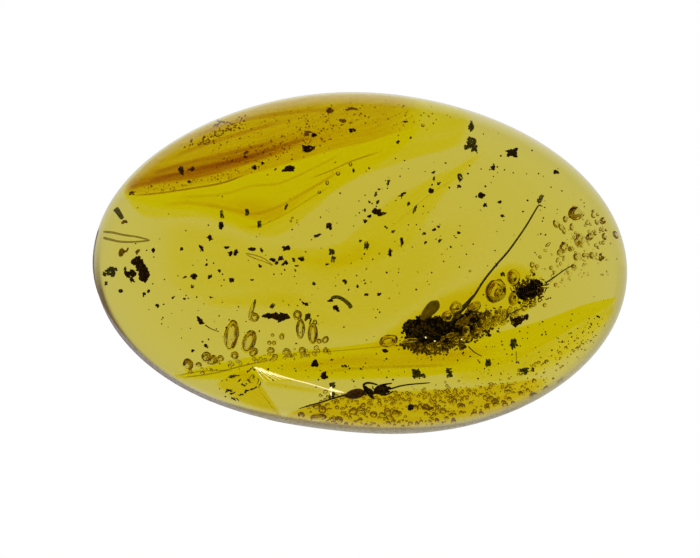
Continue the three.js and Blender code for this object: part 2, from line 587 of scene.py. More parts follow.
def add_flow(name, lower, upper, tint, soft, ends=(1.0, 1.0), share=(0.35, 0.6), thick=0.12,
             along=130, across=40, streak=(0.25, 2.5)):
    """A lens between two borders: across them at (1 - cos) / 2, and thick * sin off the middle.

    soft is how far, in mm, the tint fades in at the lower and the upper border, and ends at
    the left and the right end. share is the depth at the lower and at the upper border. The
    colour of each skin is tint to the power of strength / 2, as light passes two skins.
    """
    spin = np.linspace(0, 2 * np.pi, across, endpoint=False)
    part = (1 - np.cos(spin)) / 2
    low, high = through(lower, along)[:, None], through(upper, along)[:, None]
    plan = low + part[None, :, None] * (high - low)
    deep = share[0] + part * (share[1] - share[0])
    level = depth(plan[..., 0], plan[..., 1], deep)
    width = np.linalg.norm(high - low, axis=-1)
    steps = np.linalg.norm(np.diff(low[:, 0], axis=0), axis=1)
    gone = np.concatenate([[0], np.cumsum(steps)])[:, None] + 0 * part
    lens = thick * np.sin(spin) * np.minimum(1, width)
    grid = np.concatenate([plan, (level - lens)[..., None]], axis=-1)
    strength = (smooth(width * part, 0, soft[0]) * smooth(width * (1 - part), 0, soft[1])
                * smooth(gone, 0, ends[0]) * smooth(gone[-1] - gone, 0, ends[1]))
    colour = np.array(tint) ** (strength[..., None] / 2)
    whole = np.ones(strength.shape)
    colour = np.concatenate([colour, whole[..., None]], axis=-1)
    lay = np.stack([gone * streak[0], width * part * streak[1], 0 * whole, whole], axis=-1)
    return add_sealed(name, [grid[None]], flow_finish, {"tint": colour, "spread": lay})


# %% [markdown]
# ## The flows, one by one
#
# Five flows lie over each other in the upper left, from clear yellow to burnt orange. Four soft
# ones cross the middle. One wraps the clump, four run along the lower side, where the lowest
# carries the fine bubbles, and two short ones lie about the break. Borders run from left to
# right, the lower one first, and a flow that reaches the upper rim has the rim as its border.

# %% Flows of the upper side
rim_turns = np.radians(np.linspace(162, 57, 11))
UPPER_RIM = np.column_stack(place_on_plan(0.995, rim_turns)).tolist()
add_flow(
    "flow_upper",
    [(-15.1, 4.2), (-13.9, 2.9), (-12, 2.75), (-10.2, 2.75), (-8.6, 2.3), (-7.0, 1.7), (-5.6, 1.6),
     (-4.4, 2.1), (-3.0, 3.3), (-1.5, 4.5), (0, 5.4), (2, 6.1), (4, 6.75), (5.5, 7.1), (7.0, 7.7)],
    UPPER_RIM + [(7.3, 9.2)],
    tint=(0.985, 0.96, 0.18), soft=(0.35, 0.1), ends=(0.2, 1.4), share=(0.42, 0.8),
)
add_flow(
    "flow_upper_deep",
    [(-15.1, 4.25), (-13.9, 3.6), (-12, 3.25), (-10.2, 3.1), (-8.6, 2.55), (-7.2, 2.0), (-6.0, 2.15),
     (-4.6, 2.9), (-2.8, 3.9), (-1.2, 4.8), (0, 5.5), (1.6, 6.4), (2.9, 7.4), (3.9, 8.4)],
    UPPER_RIM[:-1],
    tint=(0.99, 0.985, 0.02), soft=(0.5, 0.1), ends=(0.2, 1.2), share=(0.46, 0.86),
)
add_flow(
    "flow_lobe",
    [(-12.4, 3.6), (-10.6, 3.55), (-8.6, 3.2), (-7.0, 2.7), (-5.8, 2.6), (-4.6, 3.2), (-3.0, 4.5),
     (-1.4, 5.7), (0.4, 6.6)],
    [(-12.4, 4.4), (-10.6, 4.5), (-8.6, 4.45), (-7.0, 4.6), (-5.8, 4.5), (-4.6, 4.4), (-3.0, 5.2),
     (-1.4, 6.2), (0.4, 6.9)],
    tint=(0.93, 0.80, 0.6), soft=(0.25, 1.4), ends=(3.0, 3.0), share=(0.4, 0.45), streak=(0.3, 3.0),
)
add_flow(
    "flow_orange",
    [(-15.1, 4.3), (-13.7, 4.35), (-12.2, 4.57), (-10.5, 4.85), (-8.7, 5.2), (-7, 5.6), (-4.2, 6.4),
     (-1.9, 7.1), (0.6, 7.7), (4.5, 8.9)],
    UPPER_RIM[:-1],
    tint=(0.89, 0.73, 0.3), soft=(0.25, 0.1), ends=(0.2, 4.5), share=(0.5, 0.91), streak=(0.3, 3.5),
)
add_flow(
    "flow_burnt",
    [(-15.0, 4.5), (-12.8, 4.95), (-10.2, 5.35), (-8, 5.95), (-5.7, 6.65), (-3.2, 7.6), (-0.5, 8.0)],
    [(-14.75, 5.5), (-13.2, 6.25), (-10.2, 7.0), (-8, 7.6), (-5.7, 8.2), (-3.2, 8.9), (-0.5, 9.2)],
    tint=(0.64, 0.36, 0.12), soft=(0.3, 1.2), ends=(0.5, 8.5), share=(0.6, 0.66), streak=(0.2, 5.0),
)

# %% Flows of the middle
add_flow(
    "flow_middle",
    [(-5.4, 0.6), (-4.7, -0.1), (-3.5, -0.8), (-2, -1.1), (0, -0.9), (2, 0), (3.6, 1.2), (4.6, 3.0),
     (5.4, 4.3), (6.6, 5.4), (7.8, 6.7)],
    [(-5.5, 1.0), (-4.7, 1.15), (-3.2, 1.05), (-1.4, 1.35), (0, 2.5), (1.5, 3.9), (3, 4.8), (5, 5.8),
     (6.2, 6.3), (7.2, 6.9), (8.2, 7.4)],
    tint=(0.985, 0.96, 0.22), soft=(1.2, 0.4), ends=(0.9, 1.8), share=(0.3, 0.45),
)
add_flow(
    "flow_middle_deep",
    [(-4.4, 0.1), (-3, -0.2), (-1.4, -0.5), (0, 0.0), (1.2, 0.8)],
    [(-4.4, 0.8), (-3, 0.5), (-1.4, 0.7), (0, 1.3), (1.2, 2.3)],
    tint=(0.98, 0.95, 0.3), soft=(0.4, 0.6), ends=(0.8, 1.2), share=(0.35, 0.4),
)
add_flow(
    "flow_cross",
    [(-13.2, -1.0), (-11, -2.6), (-9, -3.1), (-6, -3.4), (-3, -4.8), (0, -4.9), (3, -3.6),
     (6, -1.6), (8.5, 0.4)],
    [(-13.2, 3.2), (-11, 3.0), (-9, 2.6), (-6, 1.6), (-3, 1.2), (0, 1.6), (3, 2.2), (6, 3.2),
     (8.5, 4.0)],
    tint=(0.99, 0.97, 0.47), soft=(1.4, 1.3), ends=(2.5, 6.5), share=(0.25, 0.35), streak=(0.2, 1.2),
)
add_flow(
    "flow_band",
    [(-10.4, -2.9), (-8, -3.0), (-5.4, -3.0), (-3.0, -3.1)],
    [(-10.4, -2.2), (-8, -1.9), (-5.4, -1.7), (-3.0, -1.9)],
    tint=(0.99, 0.96, 0.35), soft=(0.5, 0.6), ends=(1.5, 1.5), share=(0.3, 0.4), streak=(0.3, 2.0),
)

# %% Flows of the lower side
add_flow(
    "flow_clump",
    [(0.4, -5.6), (2, -5.9), (4, -6.2), (6, -5.8), (8, -4.9), (10, -3.7), (12.2, -2.3)],
    [(0.6, -5.1), (2.0, -3.9), (3.4, -2.9), (5.2, -1.8), (7.4, -0.9), (9.6, 0.2), (12.0, -0.4)],
    tint=(0.95, 0.88, 0.07), soft=(0.6, 0.8), ends=(0.8, 2.2), share=(0.74, 0.78), streak=(0.4, 1.5),
)
add_flow(
    "flow_lower",
    [(-12, -7.4), (-10, -7.55), (-8.5, -7.6), (-6.3, -7.7), (-4, -7.65), (-2, -7.55), (0, -7.5),
     (2, -7.4), (4, -7.3), (6, -7.1), (8, -6.9), (10, -6.2), (12, -5.1), (14, -3.9), (16.1, -2.7)],
    [(-12, -7.25), (-10.2, -6.7), (-8.4, -6.25), (-6.3, -5.85), (-3.8, -5.6), (-1, -5.3),
     (1.5, -5.0), (4.5, -4.9), (7, -4.9), (8.6, -4.45), (10, -4.1), (12, -3.5), (14, -2.75),
     (15.2, -2.4), (16.4, -2.15)],
    tint=(0.965, 0.925, 0.008), soft=(0.4, 0.08), ends=(0.3, 0.4), share=(0.5, 0.4), streak=(0.2, 2.0),
)
add_flow(
    "flow_lower_deep",
    [(-6, -7.2), (-3, -7.1), (0, -6.9), (3, -6.9), (6, -6.7), (9, -6.0)],
    [(-6, -6.4), (-3, -6.0), (0, -5.6), (3, -5.5), (6, -5.2), (9, -5.0)],
    tint=(0.91, 0.80, 0.5), soft=(0.7, 0.6), ends=(2.5, 2.5), share=(0.45, 0.4), streak=(0.3, 4.0),
)
add_flow(
    "flow_fringe",
    [(5.5, -7.8), (8, -7.9), (10.2, -7.7), (12, -7.0), (13.6, -6.0), (15.2, -4.6), (16.3, -3.3)],
    [(5.5, -6.7), (8, -6.4), (10, -5.6), (12, -4.6), (13.6, -3.7), (15.2, -2.8), (16.3, -2.4)],
    tint=(0.975, 0.93, 0.12), soft=(0.9, 0.6), ends=(1.5, 0.4), share=(0.4, 0.5), streak=(0.3, 2.0),
)
add_flow(
    "flow_bottom",
    [(-5.0, -10.15), (-3.2, -10.4), (-1.6, -10.55), (0.3, -10.62), (2.6, -10.6), (5.1, -10.35),
     (7.7, -9.85), (10.2, -9.0), (12.4, -7.85)],
    [(-5.0, -9.7), (-3.2, -9.0), (-1.6, -8.55), (0.2, -8.1), (2.6, -8.1), (5.1, -8.0),
     (7.7, -7.8), (10.2, -7.45), (12.4, -7.2)],
    tint=(0.92, 0.79, 0.02), soft=(0.15, 0.2), ends=(0.8, 2.2), share=(0.4, 0.5), streak=(0.5, 3.0),
)
add_flow(
    "flow_break",
    [(-9.3, -7.9), (-8.3, -8.55), (-7.4, -9.1), (-6.4, -9.6), (-5.0, -10.15)],
    [(-9.3, -7.7), (-8.2, -7.1), (-7.1, -6.85), (-6.2, -7.9), (-4.75, -10.0)],
    tint=(0.95, 0.86, 0.05), soft=(0.4, 0.12), ends=(0.6, 0.3), share=(0.5, 0.6), streak=(0.5, 3.0),
)
add_flow(
    "flow_break_side",
    [(-6.2, -7.9), (-5.0, -8.1), (-3.6, -8.3), (-2.2, -8.4)],
    [(-6.2, -7.5), (-5.0, -7.6), (-3.6, -7.85), (-2.2, -8.1)],
    tint=(0.96, 0.90, 0.15), soft=(0.3, 0.2), ends=(0.4, 0.8), share=(0.5, 0.6), streak=(0.5, 3.0),
)

# %% [markdown]
# ## Creases between flows
#
# Where one flow met the next, a thin brown skin of dirt shows as a fine curved line. Each line
# is a very narrow flow of its own, a tenth to a third of a millimetre across. A row gives its
# curve, its width and its tint.

# %% Crease lines
CREASES = (
    ([(-14.67, 4.31), (-13.4, 4.4), (-12.18, 4.56), (-10.4, 4.83), (-8.74, 5.14), (-6.95, 5.8)],
     0.17, (0.55, 0.34, 0.04)),
    ([(-3.4, 5.3), (-1.91, 5.87), (-0.51, 6.51), (1.6, 7.2)], 0.15, (0.66, 0.5, 0.1)),
    ([(-7.4, 3.0), (-6.0, 3.3), (-4.85, 3.76), (-3.06, 4.78), (-0.96, 6.06)],
     0.28, (0.86, 0.76, 0.4)),
    ([(-11.8, 4.2), (-9, 4.35), (-6.89, 4.91), (-5.1, 5.1), (-3.19, 5.93), (-0.96, 7.08)],
     0.24, (0.9, 0.83, 0.5)),
    ([(-12.9, 3.75), (-10.6, 3.8), (-8.2, 3.4), (-6.2, 2.9)], 0.3, (0.92, 0.86, 0.6)),
    ([(-13.9, 5.1), (-10.4, 6.0), (-7.4, 6.7), (-4.9, 7.5), (-2.8, 8.2)], 0.3, (0.74, 0.56, 0.2)),
    ([(-12.3, 6.6), (-9.8, 7.6), (-7.2, 8.4), (-4.8, 9.1)], 0.3, (0.85, 0.7, 0.4)),
    ([(-11.6, -7.35), (-9.4, -7.05), (-7.2, -6.5), (-5.2, -6.1)], 0.13, (0.45, 0.34, 0.08)),
    ([(-4.4, -5.75), (-1.6, -5.62), (1.5, -5.35), (4.5, -5.2)], 0.10, (0.6, 0.48, 0.1)),
    ([(-2.7, -7.0), (0.2, -6.7), (3.2, -6.6), (6.0, -6.5)], 0.25, (0.85, 0.78, 0.5)),
    ([(-12.0, -7.25), (-10.4, -6.95), (-9.0, -6.85), (-7.8, -6.9)], 0.10, (0.4, 0.3, 0.05)),
    ([(-6.5, -8.0), (-6.15, -8.47), (-5.6, -9.2), (-4.96, -10.0)], 0.10, (0.35, 0.25, 0.04)),
    ([(-13.6, 5.6), (-10.6, 6.5), (-7.6, 7.2), (-5.0, 7.9)], 0.3, (0.82, 0.66, 0.35)),
    ([(-10.8, 8.0), (-8.0, 9.0), (-4.6, 9.6), (-1.0, 9.9)], 0.3, (0.88, 0.75, 0.4)),
    ([(1.6, 1.9), (3.0, 3.2), (4.6, 4.5), (6.4, 5.6)], 0.16, (0.93, 0.88, 0.6)),
    ([(-7.6, 2.25), (-6.4, 2.4), (-5.0, 3.0), (-3.2, 4.1), (-1.6, 5.1)], 0.2, (0.85, 0.76, 0.5)),
)
for index, (line, wide, tint) in enumerate(CREASES):
    middle = np.array(line)
    half = np.array([0, wide / 2])
    add_flow(f"crease_{index + 1}", middle - half, middle + half, tint, soft=(0.05, 0.05),
             ends=(1.2, 1.5), share=(0.6, 0.6), thick=0.02, along=90, across=10)

# %% [markdown]
# ## Mottled matter
#
# Wood crumbs, leaf, rust and the ant are all opaque or nearly so, and none of them has a single
# colour. One node group mixes two colours with noise and gives a height for a bump. Each
# finish places it with its own colours and size of grain, and most also give off that colour
# with a glow of their own strength, which is painted light.

# %% Mottled finishes
mottle = bpy.data.node_groups.new("mottle", "ShaderNodeTree")
for label, kind in (("Dark", "Color"), ("Light", "Color"), ("Grain", "Float")):
    mottle.interface.new_socket(name=label, in_out="INPUT", socket_type=f"NodeSocket{kind}")
for label, kind in (("Color", "Color"), ("Height", "Float")):
    mottle.interface.new_socket(name=label, in_out="OUTPUT", socket_type=f"NodeSocket{kind}")
given = node(mottle, "NodeGroupInput")
where = node(mottle, "ShaderNodeTexCoord").outputs["Object"]
grain = node(mottle, "ShaderNodeTexNoise", {"Vector": where, "Scale": given.outputs["Grain"],
                                             "Detail": 5, "Roughness": 0.65})
part = node(mottle, "ShaderNodeMapRange", {"Value": grain.outputs["Fac"], "From Min": 0.35,
                                            "From Max": 0.7})
mixed = node(mottle, "ShaderNodeMix", {"Factor": part.outputs["Result"], 6: given.outputs["Dark"],
                                        7: given.outputs["Light"]}, data_type="RGBA")
node(mottle, "NodeGroupOutput", {"Color": mixed.outputs[2], "Height": grain.outputs["Fac"]})


def matter(name, dark, light, grain, roughness, glow=0.0, alpha=1.0):
    """A mottled, rough finish. Alpha below 1 lets a thin flake pass some light; glow is painted light,
    the mottled colour given off as an emission.
    """
    material, tree, output = new_material(name)
    spots = node(tree, "ShaderNodeGroup", node_tree=mottle)
    spots.inputs["Dark"].default_value = (*dark, 1)
    spots.inputs["Light"].default_value = (*light, 1)
    spots.inputs["Grain"].default_value = grain
    bump = node(tree, "ShaderNodeBump", {"Height": spots.outputs["Height"], "Strength": 0.6,
                                         "Distance": 0.00005})
    shader = node(tree, "ShaderNodeBsdfPrincipled", {
        "Base Color": spots.outputs["Color"],
        "Roughness": roughness,
        "Alpha": alpha,
        # Painted light: the mottled colour is given off as an emission as strong as glow.
        "Emission Color": spots.outputs["Color"],
        "Emission Strength": glow,
        "Normal": bump.outputs["Normal"],
    })
    tree.links.new(shader.outputs["BSDF"], output.inputs["Surface"])
    return material


# The number after the roughness is each finish's glow, which is painted light that makes the bits look
# lit through. The brown specks glow most.
wood_dark = matter("wood_crumb", (0.018, 0.007, 0.001), (0.14, 0.06, 0.008), 9000, 0.85, 0.08)
leaf_green = matter("leaf_bit", (0.015, 0.015, 0.003), (0.22, 0.20, 0.05), 7000, 0.8, 0.22, 0.75)
rust_brown = matter("rust_bit", (0.09, 0.045, 0.001), (0.40, 0.24, 0.01), 6000, 0.8, 0.4, 0.8)
speck_brown = matter("speck", (0.16, 0.07, 0.001), (0.50, 0.26, 0.01), 3000, 0.9, 0.6, 0.8)

# %% [markdown]
# ## Crumbs and dust
#
# Dozens of crumbs were caught on the sticky resin. The ones that stand out are placed one by
# one, as rows of x, y, width, height and lean in degrees. The dust between them is strewn at
# random with a fixed seed, so that it is the same every time. Each crumb is several lumps
# pushed together, which gives it a ragged edge.

# %% Wood crumbs
GREAT_FLAKE = [
    (-14.25, 0, 0.7, 0.6, 0), (-14.05, -0.15, 0.6, 0.6, 0), (-14.2, 0.3, 0.36, 0.3, 0),
    (-13.8, -0.5, 0.62, 0.7, 0), (-13.78, -0.85, 0.6, 0.7, 0), (-14.5, -0.7, 0.45, 0.6, -30),
    (-14.75, -0.75, 0.4, 0.5, 30), (-14.97, -0.55, 0.18, 0.7, 4), (-14.55, -1.1, 0.3, 0.45, 20),
    (-14.1, -0.35, 0.5, 0.4, 0),
]
GRAINS = [
    (-13.2, 0.8, 0.32, 0.26, 30), (-11.4, 0.9, 0.22, 0.22, 0), (-10.1, 1, 0.26, 0.51, 30),
    (-8.5, 1, 0.45, 0.19, 15), (-8.3, 0.6, 0.26, 0.32, 0), (-7.9, 0.7, 0.32, 0.38, 0),
    (-6.8, 0.9, 0.57, 0.22, 5), (-6.3, 0.8, 0.26, 0.19, -30), (-9.6, 1.6, 0.32, 0.32, 0),
    (-8.9, 2.4, 0.32, 0.45, 0), (-6.4, -0.2, 0.26, 0.19, -40), (-10.6, -0.8, 0.45, 0.38, -30),
    (-11.2, -0.9, 0.26, 0.13, 20), (-9.6, -0.9, 0.26, 0.32, 0), (-9, -0.5, 0.22, 0.19, 0),
    (-9.8, -0.1, 0.19, 0.13, 40), (-8.2, -1.1, 0.38, 0.26, 20), (-6.9, -1.1, 0.26, 0.1, 0),
    (-10.7, -1.5, 0.19, 0.19, 0), (-11.9, -2.2, 0.29, 0.13, 20), (-11.2, -2.3, 0.19, 0.13, 20),
    (-9.5, -2.2, 0.26, 0.1, 0), (-12.9, -2.7, 0.29, 0.26, 20), (-10.2, -3.7, 0.57, 0.29, -38),
    (-10.7, -5.6, 0.26, 0.19, 20), (-9.8, -5.3, 0.32, 0.19, -40), (-15.3, -1.8, 0.32, 0.26, 0),
    (-13.5, -1.8, 0.26, 0.19, 45), (-13.8, -2, 0.26, 0.19, 45), (-6.8, 6.1, 0.32, 0.38, 0),
    (-6.2, 6.4, 0.26, 0.19, 25), (-4.6, 6, 0.89, 0.35, 3), (-3.4, 7.3, 0.83, 0.45, 12),
    (-3, 8.2, 0.38, 0.32, 0), (-0.5, 8.5, 0.38, 0.32, 20), (-5.4, 6, 0.16, 0.16, 0),
    (2.9, 9, 0.29, 0.19, 0), (2.4, 7.7, 0.2, 0.2, 0), (3.2, 8, 0.16, 0.16, 0),
    (-0.4, 5.9, 0.16, 0.26, 0), (4.7, 5.8, 0.32, 0.13, 35), (4.5, 4.6, 0.32, 0.41, 0),
    (5, 5.1, 0.22, 0.19, 0), (2.7, 4.4, 0.51, 0.17, 45), (3.1, 3.8, 0.16, 0.32, 0),
    (1.1, 3.3, 0.64, 0.51, 0), (1.5, 3.2, 0.38, 0.16, 15), (0.6, 3, 0.26, 0.26, 0),
    (0.3, 2.7, 0.29, 0.26, 0), (1.1, 3.9, 0.19, 0.26, 0), (0.6, 3.9, 0.19, 0.16, -30),
    (0.3, 3.4, 0.19, 0.16, 40), (-2, 2.4, 0.35, 0.45, 0), (-2.7, 1.8, 0.45, 0.19, 25),
    (0, 1.4, 0.22, 0.19, 0), (-4.7, 1, 0.41, 0.41, 45), (-5.6, 0.2, 0.38, 0.26, -15),
    (-5.1, 0.3, 0.38, 0.26, 30), (-5.3, 0, 0.29, 0.29, 0), (-4.8, 0, 0.38, 0.26, 15),
    (-3.7, 0.3, 0.32, 0.38, -30), (-4.2, 0.2, 0.19, 0.26, 0), (-4, -0.2, 0.26, 0.11, 0),
    (-2.1, -0.1, 0.22, 0.16, 45), (4.1, 1.9, 0.26, 0.22, 0), (4.7, 2.1, 0.29, 0.19, 20),
    (5, 2.3, 0.19, 0.16, 0), (4.2, 1.3, 0.16, 0.26, -30), (5.1, 1.4, 0.26, 0.16, 30),
    (2.7, 1.3, 0.22, 0.57, 0), (1.9, 0.6, 0.19, 0.57, -25), (6.3, 4.9, 0.26, 0.26, 0),
    (7.7, 4.3, 0.45, 0.38, 30), (8, 3.7, 0.26, 0.26, 0), (8.9, 3.9, 0.26, 0.22, 0),
    (9.1, 3, 0.26, 0.19, 0), (8.5, 6.1, 0.32, 0.26, 0), (9.8, 7, 0.96, 0.45, -8),
    (12.5, 5.8, 0.32, 0.26, 0), (6.3, 1.9, 0.26, 0.19, 0), (-5.95, -3.36, 0.6, 0.3, 8),
    (-5.5, -3.4, 0.9, 0.42, 0), (-5.1, -3.46, 0.8, 0.44, -3), (-4.75, -3.42, 0.5, 0.32, 0),
    (-3.5, -2.6, 0.45, 0.26, -20), (-1.5, -2.9, 0.45, 0.32, -20), (-1.9, -2.4, 0.38, 0.19, 20),
    (-2.9, -6.5, 0.51, 0.51, 0), (-2.3, -7.2, 0.51, 0.38, 15), (-1.8, -6.2, 0.22, 0.13, 20),
    (-1, -1.2, 0.26, 0.32, 0), (-0.2, -1.5, 0.19, 0.19, 0), (0.4, -2, 0.26, 0.19, 0),
    (1.2, -2, 0.32, 0.22, 0), (-2.9, -1.3, 0.22, 0.19, 0), (1.6, -5.6, 0.38, 0.26, 10),
    (3.2, -9.2, 0.38, 0.38, 0), (9.95, -3.76, 0.62, 0.55, 20), (10.28, -3.62, 0.65, 0.46, 25),
    (10.55, -3.46, 0.42, 0.34, 30), (10.1, -3.7, 0.5, 0.4, 20),
    (-10.9, 5.2, 0.26, 0.19, 0),
]


def crumbed(rows, parts, rng, sizes=(0.32, 0.72)):
    """Each row becomes that many smaller rows, shifted by up to a third of its size and turned.

    sizes is the least and the greatest part of the row's width and height that each gets.
    """
    rows = np.repeat(np.asarray(rows, float), parts, axis=0)
    shift = rng.uniform(-0.32, 0.32, (len(rows), 2)) * rows[:, 2:4]
    lean = np.radians(rows[:, 4])
    rows[:, 0] += shift[:, 0] * np.cos(lean) - shift[:, 1] * np.sin(lean)
    rows[:, 1] += shift[:, 0] * np.sin(lean) + shift[:, 1] * np.cos(lean)
    rows[:, 2:4] *= rng.uniform(*sizes, (len(rows), 2))
    rows[:, 4] += rng.uniform(-40, 40, len(rows))
    return rows


rng = np.random.default_rng(41)
WOOD = GREAT_FLAKE + GRAINS
LUMPS_EACH = 8
crumbs = crumbed(WOOD, LUMPS_EACH, rng)
levels = np.repeat(rng.uniform(0.3, 0.7, len(WOOD)), LUMPS_EACH)
places, sizes, leans = laid(crumbs, rng)
places[:, 2] = depth(places[:, 0], places[:, 1], levels)
add_sealed("wood_crumbs", [lumps(places, sizes, leans, rng, 0.26, 7, 9)], wood_dark)

# %% Leaf bits and rust
LEAF_BITS = [
    (-15.9, -0.6, 0.77, 0.77, 30), (-15.6, -0.4, 0.38, 0.38, 0), (-16.3, -0.7, 0.32, 0.38, 0),
    (-16.2, -1.3, 0.26, 0.32, 0), (6.4, 5.5, 0.38, 0.64, 20), (-6.4, 2.5, 0.32, 0.64, 0),
    (-4.7, 3.6, 0.19, 0.57, -25), (-1.8, 0.7, 0.45, 0.51, 0), (-1.7, 0.2, 0.32, 0.51, 0),
    (0.4, 1.1, 0.38, 0.64, 0), (1.8, 5.1, 0.19, 0.57, -15), (1, 4.4, 0.19, 0.45, -15),
    (3.5, 3.5, 0.19, 0.77, -15), (4.7, 5.4, 0.19, 0.32, 0), (2.1, 2, 0.26, 0.26, 0),
    (-8.8, 3.1, 0.32, 0.57, 0), (-7.2, 3.2, 0.32, 0.57, 0), (-11.4, 5.9, 0.38, 0.64, 0),
    (7.1, 7.7, 0.77, 0.83, 0), (7.3, 7.3, 0.51, 0.51, 0), (6.8, 7.4, 0.38, 0.38, 0),
    (7.1, 8.7, 0.38, 0.89, 0), (3.6, -7.1, 0.64, 0.83, 20), (4, -7.2, 0.38, 0.38, 0),
    (5.7, -7, 0.51, 0.77, 10), (8.2, -6.3, 0.45, 0.7, 10), (9.8, -5.2, 0.51, 0.83, 10),
    (10.5, -6.9, 0.77, 0.51, 10), (11, -6.8, 0.32, 0.32, 0), (11.5, 4.1, 0.32, 0.7, -30),
    (-5.6, -2.75, 0.3, 0.42, -35), (-1, -6.6, 0.51, 0.22, 0), (-3.34, -3.4, 0.5, 0.6, 0),
    (9.1, -0.7, 0.38, 0.38, 0), (-1.8, -7.8, 0.51, 0.45, 0), (-1.8, -8.5, 0.51, 0.57, 0),
]
RUST = [
    (-14.5, 4.5, 0.45, 0.22, 10), (-15.2, 0.7, 0.38, 0.57, 0),
    (-14.9, 0.8, 0.38, 0.16, 30), (-14.2, 0.7, 0.19, 0.45, -30),
    (-1.8, 9.7, 0.57, 0.32, 5), (-0.6, 9.8, 0.83, 0.17, 5), (-1.1, 9.1, 0.45, 0.26, 5),
    (-3.3, 8.3, 0.45, 0.26, 20), (-10.8, 6, 0.51, 0.32, 0), (-7.3, 7.1, 0.32, 0.19, 0),
    (-7.3, 6.8, 0.26, 0.19, 0), (-9, 8.9, 0.77, 0.19, 25), (-15.1, 2.6, 0.51, 0.2, 20),
    (4.3, -9.3, 0.7, 0.32, 8), (15.4, 0.4, 0.38, 0.48, 0), (12.76, -7.5, 0.5, 0.14, 36),
    (11.8, -7.95, 0.4, 0.16, 33), (11.0, -8.4, 0.5, 0.22, 30),
]
rng = np.random.default_rng(42)
places, sizes, leans = laid(crumbed(LEAF_BITS, 24, rng, (0.15, 0.36)), rng, (0.4, 0.5), 0.6)
add_sealed("leaf_bits", [lumps(places, sizes, leans, rng, 0.3, 7, 9)], leaf_green)
places, sizes, leans = laid(crumbed(RUST, 6, rng), rng, (0.4, 0.5), 0.4)
add_sealed("rust_bits", [lumps(places, sizes, leans, rng, 0.28)], rust_brown)

# %% [markdown]
# ## Dust
#
# Dust is too fine to place, so each row says only where a band of it lies: the curve it
# follows, the number of grains, their spread in x and y, and their least and greatest width.

# %% Dust
rng = np.random.default_rng(43)
DUST = (
    ([(-14, 1), (-7, -1), (0, 0), (7, 2), (14, 1)], 200, (1.2, 3.2), (0.04, 0.12)),
    ([(-13.5, -2.5), (-8, -4), (-2, -1.5), (5, 0)], 60, (1.0, 1.0), (0.05, 0.13)),
    ([(-2, 5), (4, 5), (9, 5), (12.5, 3.5)], 60, (1.5, 1.6), (0.05, 0.15)),
    ([(-9, -7.2), (-2, -7), (5, -6.4), (12, -5), (15.5, -3.6)], 170, (0.6, 0.7), (0.05, 0.13)),
)
dust = [lumps(*strewn(curve, count, spread, size, rng), rng, 0.2, 5, 6)
        for curve, count, spread, size in DUST]
add_sealed("dust", dust, wood_dark)
BROWN_DUST = (
    ([(-11.0, 7.4), (-9.6, 8.0), (-8.3, 8.6), (-7.2, 9.2)], 100, (0.3, 0.14), (0.05, 0.17)),
    ([(-13.4, 4.7), (-11, 5.1), (-8.6, 5.6), (-6, 6.3)], 90, (0.4, 0.13), (0.04, 0.12)),
    ([(-8.0, 6.6), (-4.8, 7.5), (-1.5, 8.6)], 180, (0.9, 0.45), (0.05, 0.14)),
    ([(-3.8, 8.5), (-2, 9.2), (0.5, 9.6), (4, 9.3)], 80, (0.8, 0.4), (0.04, 0.14)),
    ([(-10, 7.8), (-6, 8.8), (-1, 9.3), (4, 8.8)], 160, (1.2, 0.6), (0.03, 0.1)),
    ([(7, -7.6), (12, -6.3), (15.2, -4.4)], 90, (0.9, 0.5), (0.04, 0.12)),
)
brown = [lumps(*strewn(curve, count, spread, size, rng, (0.5, 0.85)), rng, 0.2, 5, 6)
         for curve, count, spread, size in BROWN_DUST]
add_sealed("brown_dust", brown, speck_brown)

# %% [markdown]
# ## Gas bubbles
#
# A bubble in amber is a ball of gas, so light passes from 1.54 to 1 as it goes in. Its shader is
# clear glass whose index is the inverse, 1 / 1.54, and that alone gives the dark ring with a
# bright middle: towards its edge the light is thrown aside. The flow stretched many of them.
# These are placed one by one, and the biggest have finer grids, because their rings show.

# %% Bubbles
gas_finish, tree, output = new_material("gas")
where = node(tree, "ShaderNodeTexCoord").outputs["Object"]
skin = node(tree, "ShaderNodeTexNoise", {"Vector": where, "Scale": 2500, "Detail": 3})
film = node(tree, "ShaderNodeMapRange", {"Value": skin.outputs["Fac"], "From Min": 0.45,
                                          "From Max": 0.75, "To Min": 0.0, "To Max": 0.03})
bump = node(tree, "ShaderNodeBump", {"Height": skin.outputs["Fac"], "Strength": 0.05,
                                     "Distance": 0.00002})
shader = node(tree, "ShaderNodeBsdfPrincipled", {
    "Base Color": (0.96, 0.93, 0.84, 1),
    "Roughness": film.outputs["Result"],
    "IOR": 1 / AMBER_IOR,
    "Transmission Weight": 1.0,
    "Normal": bump.outputs["Normal"],
})
tree.links.new(shader.outputs["BSDF"], output.inputs["Surface"])

